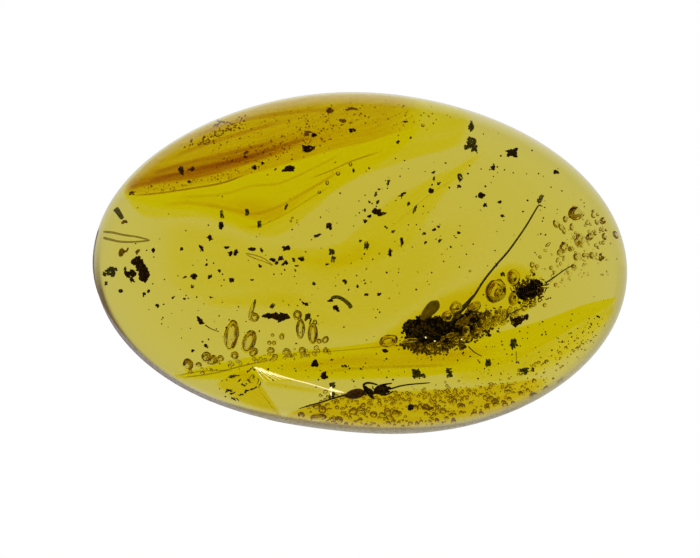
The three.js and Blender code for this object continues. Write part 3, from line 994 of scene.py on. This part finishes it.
BUBBLES = [
    (7.35, -2.85, 0.4, 0.7, -60),
    (-8.2, -4.62, 1.05, 2.0, -10), (-7.1, -5.02, 1.0, 1.6, -20), (-6.74, -3.48, 0.65, 0.65, 0),
    (-6.95, -3.1, 0.3, 1.2, -12), (-11, -6.5, 0.77, 0.89, 0), (-9.8, -6, 0.77, 0.77, 0),
    (-9.5, -6.2, 0.89, 0.77, 0), (-8.9, -6.1, 0.51, 0.51, 0), (-10.3, -6.5, 0.45, 0.38, 0),
    (-8, -5.9, 0.57, 0.57, 0), (-6.8, -5.7, 0.57, 0.7, -45), (-5.8, -5.1, 0.32, 0.32, 0),
    (-5.5, -5.1, 0.32, 0.32, 0), (-5.7, -5.6, 0.57, 0.51, 0), (-5, -4.7, 0.38, 0.45, 0),
    (-5.6, -4.6, 0.26, 0.26, 0), (-4.7, -5.7, 0.57, 0.57, 0), (-4.5, -5.9, 0.38, 0.38, 0),
    (-3.7, -5.6, 0.51, 0.51, 0), (-3.5, -5.9, 0.32, 0.32, 0), (-2.2, -5.6, 0.38, 0.38, 0),
    (-2.87, -3.77, 0.35, 0.4, 0), (-4, -3.3, 0.62, 0.69, 0), (-3.8, -4.2, 0.64, 1.34, 0),
    (-3, -4.5, 0.7, 1.4, 0), (-2.6, -5, 0.38, 0.38, 0), (-2.2, -4.9, 0.45, 0.57, -30),
    (-2.75, -9.15, 0.6, 0.5, 15), (-3.75, -9.7, 0.5, 0.45, 0), (-2.65, -9.85, 1.1, 0.5, 5),
    (13.8, 3.2, 1.15, 1.02, 30), (13.1, 2.8, 0.38, 0.48, 0), (12.5, 2.5, 0.45, 0.57, 20),
    (12.8, 2.3, 0.32, 0.51, 15), (13, 2.1, 0.32, 0.57, 5), (13.5, 2.3, 0.32, 0.51, 0),
    (14, 1.5, 0.77, 0.89, -15), (14.1, 1.2, 0.38, 0.45, 0), (14.7, 1.7, 0.51, 0.7, -60),
    (15, 1.9, 0.32, 0.32, 0), (15.6, 1.7, 0.38, 0.51, 10), (15.7, 2.1, 0.19, 0.19, 0),
    (13, 1, 0.64, 0.77, -20), (13.4, 0.9, 0.32, 0.38, 0), (12.7, 0.7, 0.32, 0.45, -20),
    (13.8, 0.4, 0.48, 0.57, 5), (14.3, 0.5, 0.35, 0.35, 0), (14.5, 0.5, 0.29, 0.29, 0),
    (14.8, 0.5, 0.45, 0.51, 10), (15.1, 0.6, 0.16, 0.16, 0), (15.2, 1, 0.26, 0.26, 0),
    (13.6, -0.2, 0.32, 0.32, 0), (13.8, -0.3, 0.22, 0.22, 0), (14.3, -0.1, 0.22, 0.22, 0),
    (12.2, -0.3, 0.32, 0.32, 0), (12.4, -0.6, 0.26, 0.26, 0), (12.5, -1.4, 0.32, 0.32, 0),
    (13.3, -0.7, 0.19, 0.19, 0), (12.6, 0.2, 0.22, 0.38, -25), (13, 0.3, 0.19, 0.38, -15),
    (12, 1.2, 0.22, 0.45, -50), (11.5, 0.4, 0.26, 0.26, 0), (15.5, 2.7, 0.45, 0.51, -30),
    (16.3, 1.8, 0.32, 0.57, 25), (15.1, 2.6, 0.26, 0.38, 30),
    (8.66, -1.78, 1.45, 1.7, -20), (8.85, -1.9, 0.7, 1.1, -20), (8.88, -2.05, 0.38, 0.4, 0),
    (9.8, -0.9, 0.89, 1.08, 0), (9.8, -1.2, 0.57, 0.64, 0), (11, -0.1, 0.38, 0.45, 0),
    (11.3, -0.2, 0.32, 0.32, 0), (11, -0.5, 0.32, 0.32, 0), (10.7, -0.9, 0.32, 0.32, 0),
    (12.2, -0.3, 0.32, 0.32, 0), (7.27, -2.84, 0.7, 1.05, -60), (10.5, -2.9, 0.51, 0.45, 0),
    (10, -3.1, 0.35, 0.35, 0), (10.9, -2.8, 0.26, 0.26, 0), (11.2, -2.7, 0.19, 0.19, 0),
    (9.8, -2.3, 0.7, 0.89, -20), (9.3, -3.2, 0.32, 0.32, 0), (5.7, -5.2, 0.51, 0.51, 0),
    (4.8, -5.5, 0.32, 0.32, 0), (1.8, -5, 1.21, 0.89, 20), (7, -0.5, 0.19, 0.19, 0),
    (11.8, -2.7, 0.32, 0.32, 0), (11.9, -6.3, 0.32, 0.32, 0), (-2.6, 4.5, 0.26, 0.26, 0),
    (-1.4, 5.7, 0.32, 0.32, 0), (-2.1, 5.1, 0.26, 0.35, 0), (-0.6, 6.3, 0.26, 0.32, 0),
    (-4.3, 2.9, 0.19, 0.19, 0), (-4.4, 2.7, 0.19, 0.19, 0), (4, 8.8, 0.26, 0.26, 0),
]
rng = np.random.default_rng(51)
places, sizes, leans = laid(BUBBLES, rng, (0.35, 0.65), 1.25)

ON_CLUMP = [
    (5.63, -3.4, 0.85, 0.8, 30), (6.77, -4.31, 0.5, 0.66, 0), (6.11, -2.8, 0.8, 0.78, 0),
    (5.0, -5.2, 0.35, 0.32, 0), (4.4, -5.4, 0.3, 0.3, 0), (5.3, -4.8, 0.3, 0.28, 0),
    (6.15, -4.85, 0.32, 0.3, 0), (7.5, -4.3, 0.42, 0.38, 0), (7.0, -4.7, 0.3, 0.32, 0),
    (3.2, -4.95, 0.9, 0.3, 5), (5.8, -4.6, 0.7, 0.3, 15), (8.1, -3.7, 0.36, 0.3, 0),
]
lying = laid(ON_CLUMP, rng, (0.62, 0.68), 0.9)
BIG = 0.6
big = sizes[:, 0] > BIG
add_sealed(
    "bubbles",
    [lumps(places[big], sizes[big], leans[big], rng, 0.02, 32, 44),
     lumps(places[~big], sizes[~big], leans[~big], rng, 0.02, 16, 22),
     lumps(*lying, rng, 0.05, 24, 34)],
    gas_finish,
)

# %% [markdown]
# ## Froth
#
# Froth is strewn in bands, as the dust is. A row ends with the depths between which its band
# lies, and most of the froth lies midway or, on the lower side, under the brown flow there.

# %% Froth
MIDWAY, UNDER_FLOW = (0.3, 0.7), (0.12, 0.36)
FROTH = (
    ([(-10.8, -7.0), (-8, -6.5), (-5, -6), (-1.9, -5.7)], 60, (0.2, 0.16), (0.12, 0.34), MIDWAY),
    ([(11.8, -0.6), (13.8, 1.2), (15.4, 2.4)], 60, (0.9, 0.9), (0.1, 0.3), MIDWAY),
    ([(12.6, -1.2), (14.4, -0.2), (15.8, 0.6)], 60, (0.7, 0.4), (0.06, 0.16), MIDWAY),
    ([(8.4, -3.9), (9.3, -3.5), (11.2, -2.5)], 40, (0.3, 0.24), (0.12, 0.34), MIDWAY),
    ([(7.9, -4.0), (8.6, -3.7), (9.3, -3.2)], 45, (0.4, 0.2), (0.12, 0.30), (0.56, 0.64)),
    ([(-2.6, -8.9), (1, -8.7), (5, -8.6), (10, -8.0)], 120, (0.9, 0.25), (0.1, 0.24), UNDER_FLOW),
    ([(-2.9, -9.6), (1, -9.5), (5, -9.3), (10, -8.3)], 120, (0.9, 0.5), (0.12, 0.32), UNDER_FLOW),
    ([(-2.6, -9.4), (1, -9.4), (5, -9.2), (11, -7.9)], 140, (1.2, 0.6), (0.07, 0.15), UNDER_FLOW),
    ([(-3.4, -10.1), (0, -10.25), (4, -10.15), (8, -9.5)], 80, (0.8, 0.14), (0.1, 0.32), UNDER_FLOW),
    ([(5, -8.5), (8.5, -8.3), (12.3, -7.4)], 100, (0.9, 0.35), (0.07, 0.2), UNDER_FLOW),
    ([(0, -8.5), (4, -8.4), (9, -8.0)], 60, (1.2, 0.16), (0.16, 0.28), UNDER_FLOW),
    ([(-1, -9.5), (4, -9.6), (8, -8.8)], 26, (0.8, 0.2), (0.36, 0.6), UNDER_FLOW),
    ([(10.5, -7.3), (13.0, -6.2), (15.0, -4.6)], 26, (0.6, 0.3), (0.08, 0.24), UNDER_FLOW),
    ([(4.2, -5.5), (5.6, -5.2), (7.0, -4.7), (8.4, -3.9)], 36, (0.4, 0.2), (0.12, 0.3),
     (0.62, 0.68)),
)
froth = [lumps(*strewn(curve, count, spread, size, rng, share, 0.6), rng, 0.04, 6, 10)
         for curve, count, spread, size, share in FROTH]
add_sealed("froth", froth, gas_finish)

# %% [markdown]
# ## The ant
#
# The ant is about three millimetres long: an egg-shaped gaster, a small waist, a slim thorax and
# a large head with jaws. Each part is a lump drawn out to its length, as a row of x, y, length,
# width, thickness and lean. The legs and antennae are thin tapering skins with a kink at each
# joint, and their rows give a curve, the two radii and how far they lie above the body's level.
# The ant lies on its side, with one leg trailing far behind and an antenna far ahead.

# %% The ant
# The last number of each is its glow: painted light on the dark chitin and on the reddish gaster.
chitin = matter("chitin", (0.008, 0.002, 0.0005), (0.07, 0.018, 0.002), 5000, 0.35, 0.04)
gaster_finish = matter("gaster", (0.014, 0.004, 0.001), (0.30, 0.11, 0.04), 6500, 0.3, 0.1)
ANT_LEVEL = float(depth(0.4, -8.3, 0.62))
rng = np.random.default_rng(61)
ANT_PARTS = [
    (1.36, -8.08, 0.98, 0.66, 0.56, 8), (1.80, -7.98, 0.34, 0.24, 0.22, 12),
    (1.78, -8.22, 0.30, 0.14, 0.16, 20), (0.62, -8.22, 0.62, 0.44, 0.4, -40),
    (0.42, -8.08, 0.56, 0.30, 0.34, -62), (0.86, -8.28, 0.30, 0.22, 0.24, 15),
    (0.2, -8.26, 0.28, 0.2, 0.2, -20), (0.70, -8.50, 0.34, 0.16, 0.16, -25),
]
parts = np.array(ANT_PARTS)
places = np.column_stack([parts[:, :2], np.full(len(parts), ANT_LEVEL)])
LEGS = (
    ([(0.38, -8.29), (0.29, -7.97), (0.24, -7.76), (0.45, -7.65), (0.77, -7.67), (1.15, -7.78)],
     0.095, 0.055, 0.1),
    ([(1.2, -7.84), (1.66, -7.72), (2.04, -7.67)], 0.08, 0.04, 0.1),
    ([(0.95, -8.1), (0.8, -7.95), (0.84, -7.82)], 0.04, 0.03, 0.05),
    ([(1.85, -8.05), (2.17, -7.96), (2.62, -7.83), (3.25, -7.74), (3.89, -7.69), (4.5, -7.64)],
     0.06, 0.038, 0.1),
    ([(1.28, -8.42), (1.72, -8.38), (1.98, -8.26), (2.11, -8.17)], 0.065, 0.04, 0.0),
    ([(-0.75, -8.39), (-1.1, -8.46), (-1.4, -8.55), (-1.85, -8.68), (-2.42, -8.87), (-3.13, -9.06),
      (-3.95, -9.31)], 0.07, 0.035, -0.1),
    ([(0.64, -8.5), (0.83, -8.64), (0.98, -8.66)], 0.05, 0.03, 0.0),
    ([(0.5, -8.3), (0.3, -8.38), (0.0, -8.45), (-0.2, -8.5)], 0.06, 0.035, -0.45),
    ([(0.6, -8.3), (0.7, -8.36), (0.85, -8.3), (1.1, -8.36)], 0.06, 0.035, -0.5),
)
limbs = [thread(points, ANT_LEVEL + lift, thick, thin, 36) for points, thick, thin, lift in LEGS]
add_sealed("ant", [lumps(places, parts[:, 2:5], parts[:, 5], rng, 0.03, 14, 20)] + limbs,
           chitin)


def ant_gaster(rows=40, columns=28):
    """An egg about its axis: radius sqrt(1 - t^2) * (1 + 0.12 t), pinched at each belly ring."""
    t = np.linspace(-0.995, 0.995, rows)[:, None]
    spin = np.linspace(0, 2 * np.pi, columns, endpoint=False)[None, :]
    rings = 1 - 0.035 * np.exp(-((np.sin((t + 0.1) * 7.5) / 0.22) ** 2))
    radius = np.sqrt(1 - t**2) * (1 + 0.12 * t) * rings
    x, y, z = t * np.ones_like(spin), -radius * np.cos(spin), radius * np.sin(spin)
    long, wide, lean = 0.64, 0.33, np.radians(12)
    middle_x, middle_y = -0.33, -8.36
    place = np.stack([x * long * np.cos(lean) - y * wide * np.sin(lean) + middle_x,
                      x * long * np.sin(lean) + y * wide * np.cos(lean) + middle_y,
                      z * wide + ANT_LEVEL], axis=-1)
    return place[None, :, ::-1]


add_sealed("ant_gaster", [ant_gaster()], gaster_finish)

# %% [markdown]
# ## The dark clump
#
# The largest thing in the amber is a clump of rotted plant matter. Its core is a thick skin
# about a short curve, with waves on it, and a few hundred crumbs stand on that to make it
# granular. Paler mould and a brown fringe lie along its lower edge and its thin end, and their
# crumbs glow with painted light, so that they shine like highlights on the dark mass. An olive
# lobe like a small leaf stands up from it, and a long hair runs out of it to the upper right.
# A tuft of fine hairs lies beyond its thin end, with dark crumbs on it.

# %% The clump
# Each finish's glow is painted light. The glow of the mould and of the fringe makes painted highlights
# on the clump.
clump_finish = matter("plant_clump", (0.002, 0.001, 0.0002), (0.035, 0.022, 0.002), 6000, 0.75,
                      0.05)
mould_finish = matter("clump_mould", (0.006, 0.003, 0.0005), (0.22, 0.15, 0.01), 8000, 0.7, 0.22)
fringe_finish = matter("clump_fringe", (0.03, 0.014, 0.001), (0.50, 0.34, 0.02), 7000, 0.6, 0.35,
                       0.9)
rng = np.random.default_rng(71)
CORE = [(2.9, -4.6), (3.6, -4.4), (4.5, -4.35), (5.5, -4.25), (6.6, -3.95), (8.0, -3.6)]
SPOTS = 60
flat = through(CORE, SPOTS)
t = np.linspace(0, 1, SPOTS)
fat = through(np.column_stack([[0.62, 0.92, 0.96, 0.84, 0.72, 0.34], np.zeros(6)]), SPOTS)[:, 0]
fat = fat * (1 + 0.1 * np.sin(t * 23) + 0.07 * np.sin(t * 51 + 1))
core_level = depth(flat[:, 0], flat[:, 1], 0.45)
core = skins(np.column_stack([flat, core_level])[None], fat[None], 32)
core[..., 2] = core_level[None, :, None] + 0.8 * (core[..., 2] - core_level[None, :, None])


def heaped(count, start, stop, sizes, rise, reach=1.0):
    """Crumbs on the core between two of its spots: level + rise * sqrt(radius^2 - away^2).

    away is how far to the side a crumb lies, at most reach times the core's own radius.
    """
    spot = rng.integers(start, stop, count)
    away = rng.uniform(-reach, reach, (count, 2)) * fat[spot, None]
    middle = flat[spot] + np.column_stack([0.4 * away[:, 0], away[:, 1]])
    size = rng.uniform(*sizes, count)
    top = np.maximum(fat[spot] ** 2 - away[:, 1] ** 2, 0)
    level = core_level[spot] + rise * np.sqrt(top)
    shape = np.column_stack([size, size * rng.uniform(0.5, 1, count), size * 0.7])
    places = np.column_stack([middle, level])
    return lumps(places, shape, rng.uniform(0, 180, count), rng, 0.22, 7, 9)


def along_band(curve, count, spread, sizes, share):
    """Crumbs strewn along a curve, as one stack."""
    return lumps(*strewn(curve, count, spread, sizes, rng, share), rng, 0.24, 7, 9)


beyond = along_band([(10.3, -2.0), (10.8, -1.7), (11.3, -1.35)], 60, (0.27, 0.25), (0.12, 0.3),
                    (0.56, 0.62))
add_sealed(
    "plant_clump",
    [core, heaped(420, 2, 58, (0.1, 0.26), 0.7, 0.98), beyond],
    clump_finish,
)
mould = [
    heaped(200, 0, 26, (0.1, 0.2), 0.85, 1.04),
    heaped(70, 20, 58, (0.10, 0.22), 0.85, 1.15),
    along_band([(3.0, -5.2), (4.2, -5.5), (5.5, -5.3), (6.8, -4.8), (7.8, -4.2)], 330, (0.4, 0.17),
               (0.10, 0.24), (0.44, 0.52)),
    along_band([(7.0, -4.4), (8.0, -3.8), (9.0, -3.2)], 130, (0.5, 0.3), (0.08, 0.18), (0.44, 0.52)),
]
add_sealed("clump_mould", mould, mould_finish)
FLAKES = [
    (5.9, -4.6, 0.85, 0.24, 14), (5.2, -4.95, 0.5, 0.16, 35), (6.3, -4.85, 0.3, 0.2, 50),
    (4.6, -5.15, 0.4, 0.14, 10), (3.1, -5.05, 0.9, 0.14, 2), (3.2, -5.25, 0.8, 0.12, -6),
    (6.6, -3.75, 0.9, 0.5, 12), (5.9, -3.3, 0.5, 0.16, 40),
]
fringe = [
    along_band([(2.9, -5.2), (4.2, -5.6), (5.6, -5.3), (6.9, -4.75), (8.0, -4.1)], 170, (0.3, 0.2),
               (0.08, 0.2), (0.5, 0.58)),
    along_band([(6.2, -3.6), (7.2, -3.5), (8.2, -3.4), (9.2, -3.1)], 120, (0.3, 0.22), (0.08, 0.2),
               (0.46, 0.54)),
    lumps(*laid(FLAKES, rng, (0.62, 0.66)), rng, 0.08, 10, 14),
]
add_sealed("clump_fringe", fringe, fringe_finish)

# %% The lobe
# Its glow, 0.35, is painted light.
lobe_finish = matter("leaf_lobe", (0.12, 0.09, 0.004), (0.34, 0.26, 0.02), 2500, 0.5, 0.35, 0.9)
flat = through([(3.95, -3.65), (4.2, -3.3), (4.55, -2.92), (4.85, -2.6), (5.0, -2.4)], 30)
fat = through(np.column_stack([[0.18, 0.3, 0.39, 0.33, 0.06], np.zeros(5)]), 30)[:, 0]
lobe_level = float(depth(4.4, -3, 0.5))
lobe = skins(np.column_stack([flat, np.full(30, lobe_level)])[None], fat[None], 20)
lobe[..., 2] = lobe_level + 0.5 * (lobe[..., 2] - lobe_level)
add_sealed("clump_lobe", [lobe], lobe_finish)

# %% [markdown]
# ## Hairs and the tuft
#
# A single hair is a smooth curve with a thin skin, given by its points, its level, its radius
# at each end and the number of rings. The tuft is hundreds of short ones, worked out all at
# once: each starts near the middle, points its own way and bends by a turn of its own.

# %% Hairs and tuft
# Its glow, 0.15, is painted light.
hair_finish = matter("plant_hair", (0.05, 0.05, 0.008), (0.22, 0.19, 0.03), 4000, 0.6, 0.15)
rng = np.random.default_rng(72)
level = float(depth(9, 0, 0.5))
hairs = [
    thread([(5.9, -3.4), (6.6, -2.8), (7.2, -2.2), (7.9, -1.1), (8.7, -0.1), (9.5, 0.8), (10.5, 2.2),
            (11.1, 3.2), (11.4, 3.66), (11.65, 3.6)], level, 0.085, 0.045, 90),
    thread([(5.6, -3.8), (6.2, -3.2), (6.8, -2.65), (7.3, -2.0)], level, 0.3, 0.07, 30),
    thread([(11.8, -1.3), (12.4, -0.9), (13.1, -0.4), (13.7, -0.1)], level, 0.055, 0.03, 30),
    thread([(8.6, -0.25), (8.75, -0.05), (8.85, 0.1)], level, 0.09, 0.05, 12),
    thread([(-9.9, -3.95), (-9.5, -4.2), (-8.95, -4.4)], level, 0.04, 0.02, 20),
    thread([(6.9, -5.3), (7.2, -5.6), (7.5, -5.8), (7.8, -5.95)], level, 0.04, 0.025, 20),
    thread([(9.95, -5.6), (9.97, -6.0), (9.95, -6.4)], level, 0.025, 0.015, 12),
    thread([(8.3, -3.6), (9.0, -3.45), (9.7, -3.2), (10.3, -2.9)], level, 0.06, 0.03, 24),
]
add_sealed("plant_hairs", hairs, hair_finish)

# Its glow, 0.2, is painted light, which brings out the ochre in the dark tuft.
tuft_finish = matter("tuft", (0.006, 0.0015, 0.0004), (0.40, 0.20, 0.010), 5000, 0.7, 0.2)
count = 420
TUFT_MIDDLE, TUFT_SPREAD = (10.8, -1.75), (0.42, 0.3)
start = rng.normal(size=(count, 2)) * TUFT_SPREAD + TUFT_MIDDLE
aim = rng.uniform(0, 2 * np.pi, count)
reach = rng.uniform(0.15, 0.42, count)
swirl = rng.uniform(-1, 1, count)
u = np.linspace(0, 1, 8)[None, :]
bend = aim[:, None] + swirl[:, None] * u
rise = rng.uniform(-0.4, 0.4, count)[:, None] * u
paths = np.stack([start[:, :1] + reach[:, None] * u * np.cos(bend),
                  start[:, 1:] + reach[:, None] * u * np.sin(bend), level + rise], axis=-1)
tuft = skins(paths, np.broadcast_to(0.045 - 0.02 * u, (count, 8)), 5)
crumb = strewn([(10.2, -2.0), (10.8, -1.75), (11.4, -1.4)], 60, (0.28, 0.3), (0.1, 0.26), rng,
               (0.48, 0.54))
add_sealed("hair_tuft", [tuft, lumps(*crumb, rng, 0.25, 6, 8)], tuft_finish)

# %% [markdown]
# ## Needles, rods and a tube
#
# A few longer scraps of plants: a pale two-edged needle on the left, a short one near the
# middle, three small green rods, and a green tube by the rim.

# %% Needles and rods
# Its glow, 0.4, is painted light.
straw = matter("straw", (0.20, 0.14, 0.006), (0.46, 0.34, 0.03), 3000, 0.6, 0.4, 0.55)
level = float(depth(-14.5, 1.5, 0.45))
needles = [
    thread([(-16.4, 2.0), (-15.82, 1.95), (-15.05, 1.78), (-14.23, 1.66), (-13.4, 1.45)], level,
           0.08, 0.055),
    thread([(-16.4, 1.62), (-15.95, 1.5), (-15.31, 1.36), (-14.42, 1.34), (-13.4, 1.43)], level,
           0.09, 0.055),
    thread([(-7.34, 0.64), (-6.7, 0.5), (-6.12, 0.28), (-5.55, -0.15)], level, 0.035, 0.03),
    thread([(-7.3, 0.56), (-6.75, 0.3), (-6.2, 0.12), (-5.55, -0.17)], level, 0.03, 0.03),
]
add_sealed("straw_needles", needles, straw)
rods = [
    thread([(-1.85, -2.23), (-1.47, -2.15), (-1.08, -2.3), (-0.7, -2.62), (-0.57, -2.87)], level,
           0.1, 0.14),
    thread([(-15.62, 3.5), (-15.41, 3.22), (-15.15, 2.8)], level, 0.2, 0.14),
    thread([(-6.68, -2.35), (-6.78, -2.75), (-6.95, -3.2)], level, 0.06, 0.12),
    thread([(-3.1, -3.5), (-3.2, -3.85), (-3.15, -4.1)], level, 0.06, 0.04),
]
add_sealed("green_rods", rods, leaf_green)

# %% [markdown]
# ## The crack
#
# A crack in amber is a very thin gap, and a real one throws the light of the room back. Here
# that shine is painted: a narrow ribbon with a fan of ribs at its root, where the break ran in
# steps, has a cream-white finish that glows. A few small painted glints by it and on the clump
# glow in the same way.

# %% The crack
crack_glow_finish, tree, output = new_material("crack")
where = node(tree, "ShaderNodeTexCoord").outputs["Object"]
glint_noise = node(tree, "ShaderNodeTexNoise", {"Vector": where, "Scale": 3000, "Detail": 4})
shine = node(tree, "ShaderNodeMix", {"Factor": glint_noise.outputs["Fac"], 6: (0.75, 0.62, 0.30, 1),
                                      7: (1.0, 0.95, 0.80, 1)}, data_type="RGBA")
# Painted light: the cream-white colour is given off with strength 1.5, a painted glint in place of
# reflected room light.
shader = node(tree, "ShaderNodeBsdfPrincipled", {
    "Base Color": shine.outputs[2],
    "Roughness": 0.35,
    "Emission Color": shine.outputs[2],
    "Emission Strength": 1.5,
})
tree.links.new(shader.outputs["BSDF"], output.inputs["Surface"])
level = float(depth(-4, -7.5, 0.8))
ribs = [
    thread([(-6.76, -6.67), (-6.25, -6.83), (-5.42, -7.14), (-4.47, -7.4), (-3.19, -7.72),
            (-1.91, -8.1), (-0.95, -8.3)], level, 0.04, 0.03, 80),
    thread([(-1.95, -8.02), (-1.5, -8.13), (-1.05, -8.28)], level, 0.03, 0.045, 30),
]
for start, bend, end, thick in (
    ((-6.7, -6.66), (-6.0, -6.92), (-5.1, -7.26), 0.06),
    ((-6.45, -6.74), (-5.8, -7.02), (-4.8, -7.34), 0.11),
    ((-6.65, -6.7), (-6.35, -7.2), (-5.95, -7.6), 0.02),
    ((-6.6, -6.7), (-6.1, -7.15), (-5.6, -7.55), 0.022),
    ((-6.5, -6.72), (-5.9, -7.15), (-5.3, -7.5), 0.024),
    ((-6.3, -6.78), (-5.7, -7.15), (-5.0, -7.48), 0.026),
    ((-6.1, -6.84), (-5.5, -7.15), (-4.7, -7.45), 0.026),
    ((-5.8, -6.92), (-5.2, -7.2), (-4.4, -7.42), 0.024),
    ((-5.5, -7.02), (-4.9, -7.24), (-4.1, -7.46), 0.022),
):
    ribs.append(thread([start, bend, end], level, thick, 0.008, 30))
# Painted highlights: small glowing flecks on the leaf bit beside the break and on the clump.
PAINTED_GLINTS = [(-1.9, -8.02, 0.24, 0.12, 60), (-1.78, -8.1, 0.12, 0.18, 0), (-1.86, -8.36, 0.1, 0.24, 5),
          (4.2, -4.77, 0.09, 0.09, 0), (4.77, -5.0, 0.11, 0.08, 0), (6.5, -4.87, 0.08, 0.1, 0)]
painted_glints = lumps(*laid(PAINTED_GLINTS, np.random.default_rng(80), (0.8, 0.82), 0.5), rng, 0.3)
add_sealed("crack", ribs + [painted_glints], crack_glow_finish)

# %% Dirt in the break
rng = np.random.default_rng(81)
SHELLS = [(-8.1, -7.2, 0.75, 0.12, -4), (-8.2, -7.3, 0.5, 0.10, 4), (-7.7, -7.5, 0.35, 0.12, 60),
          (-7.5, -7.7, 0.4, 0.12, -40), (-7.1, -6.85, 0.45, 0.12, 40), (-6.8, -6.75, 0.3, 0.12, -50),
          (-7.0, -7.3, 0.5, 0.06, 75), (-6.8, -7.4, 0.55, 0.06, 78), (-6.5, -7.5, 0.5, 0.06, 80),
          (-6.4, -7.8, 0.4, 0.10, 60), (-6.8, -8.0, 0.5, 0.12, 20), (-7.2, -8.15, 0.4, 0.14, 35),
          (-7.6, -8.4, 0.45, 0.12, 10), (-8.3, -8.15, 0.5, 0.14, -10), (-8.1, -8.3, 0.4, 0.16, 25),
          (-7.9, -8.7, 0.75, 0.12, -16), (-8.5, -8.2, 0.3, 0.1, 50), (-7.0, -7.6, 0.5, 0.08, -35)]
places, sizes, leans = laid(crumbed(SHELLS, 4, rng), rng, (0.55, 0.6), 0.5)
# The dirt has the mould finish, so it also glows with painted light.
add_sealed("crack_dirt", [lumps(places, sizes, leans, rng, 0.3)], mould_finish)

# %% [markdown]
# ## Table
#
# Amber is shown best on a table lit from below. The table glows white about the pebble and
# falls off far away. A dome throws some rays far aside, and where those meet a dimmer table,
# rims and bubbles get their dark rings. Seen straight, the table stays pale. The polished
# surface mirrors only the table close by, or the clear colour would fog over. A Light Path node
# tells the three apart: rays from the camera, mirrored rays and the rest.

# %% Table
PALE = 0.8
DIM = 0.1
floor_finish, tree, output = new_material("light_table")
where = node(tree, "ShaderNodeTexCoord").outputs["Object"]
far = node(tree, "ShaderNodeVectorMath", {0: where}, operation="LENGTH").outputs["Value"]
rays = node(tree, "ShaderNodeLightPath").outputs
seen = node(tree, "ShaderNodeMapRange", {"Value": far, "From Min": 0.03, "From Max": 0.3,
                                          "To Min": 1.0, "To Max": PALE},
            interpolation_type="SMOOTHSTEP").outputs["Result"]
lit = node(tree, "ShaderNodeMapRange", {"Value": far, "From Min": 0.024, "From Max": 0.08,
                                         "To Min": 1.0, "To Max": DIM},
           interpolation_type="SMOOTHSTEP").outputs["Result"]
mirrored = node(tree, "ShaderNodeMapRange", {"Value": far, "From Min": 0.012, "From Max": 0.03,
                                              "To Min": 0.9, "To Max": 0.04},
                interpolation_type="SMOOTHSTEP").outputs["Result"]
inside = node(tree, "ShaderNodeMix", {"Factor": rays["Is Reflection Ray"], 2: lit, 3: mirrored})
level = node(tree, "ShaderNodeMix", {"Factor": rays["Is Camera Ray"], 2: inside.outputs[0],
                                      3: seen})
glow = node(tree, "ShaderNodeEmission", {"Strength": level.outputs[0]})
tree.links.new(glow.outputs["Emission"], output.inputs["Surface"])

REACH = 2500
TABLE_GAP = 0.05
corners = np.array([(-REACH, -REACH, -TABLE_GAP), (REACH, -REACH, -TABLE_GAP),
                    (REACH, REACH, -TABLE_GAP), (-REACH, REACH, -TABLE_GAP)])
table_mesh = bpy.data.meshes.new("table")
table_mesh.from_pydata((corners * MM).tolist(), [], [(0, 1, 2, 3)])
table_mesh.materials.append(floor_finish)
table = bpy.data.objects.new("table", table_mesh)
bpy.context.scene.collection.objects.link(table)

# %% [markdown]
# ## Studio
#
# The room is pale to the camera, as the table is. Light that comes through the amber meets a
# dim sky overhead, which the bubbles' rings need, and a lighter one low down, so that the
# pebble still glows when it is seen from the side. Its mirrored sky is nearly black. One wide
# soft box above lights the tops of the crumbs through the amber.

# %% Studio
world = bpy.data.worlds.new("studio")
bpy.context.scene.world = world
world.use_nodes = True
tree = world.node_tree
tree.nodes.clear()
output = node(tree, "ShaderNodeOutputWorld")
direction = node(tree, "ShaderNodeTexCoord").outputs["Generated"]
up = node(tree, "ShaderNodeSeparateXYZ", {"Vector": direction}).outputs["Z"]
rays = node(tree, "ShaderNodeLightPath").outputs
LOW_SKY = 0.4
mirrored = node(tree, "ShaderNodeMapRange", {"Value": up, "From Min": 0.0, "From Max": 0.7,
                                              "To Min": 0.05, "To Max": 0.015}).outputs["Result"]
low = node(tree, "ShaderNodeMapRange", {"Value": up, "From Min": 0.05, "From Max": 0.45,
                                        "To Min": LOW_SKY, "To Max": DIM}).outputs["Result"]
inside = node(tree, "ShaderNodeMix", {"Factor": rays["Is Reflection Ray"], 2: low, 3: mirrored})
level = node(tree, "ShaderNodeMix", {"Factor": rays["Is Camera Ray"], 2: inside.outputs[0],
                                      3: PALE})
sky = node(tree, "ShaderNodeBackground", {"Color": (1, 1, 1, 1), "Strength": level.outputs[0]})
tree.links.new(sky.outputs["Background"], output.inputs["Surface"])

soft_box = bpy.data.objects.new("soft_box", bpy.data.lights.new("soft_box", "AREA"))
soft_box.data.size = 0.3
soft_box.data.energy = 0.35
soft_box.location = (-0.25, 0.3, 0.5)
soft_box.rotation_euler = (np.radians(-31), np.radians(-27), 0)
soft_box.visible_glossy = False
bpy.context.scene.collection.objects.link(soft_box)

# %% [markdown]
# ## Light paths and colour
#
# Clear things need long light paths: a ray passes the dome, a dozen flows and bubbles and the
# base before it comes out, and each skin is one bounce. The plain view transform keeps the
# yellow as pure as the real stone's, where a filmic one would grey it.

# %% Look
scene = bpy.context.scene
scene.view_settings.view_transform = "Standard"
scene.cycles.max_bounces = 32
scene.cycles.transmission_bounces = 32
scene.cycles.transparent_max_bounces = 32
scene.cycles.glossy_bounces = 8
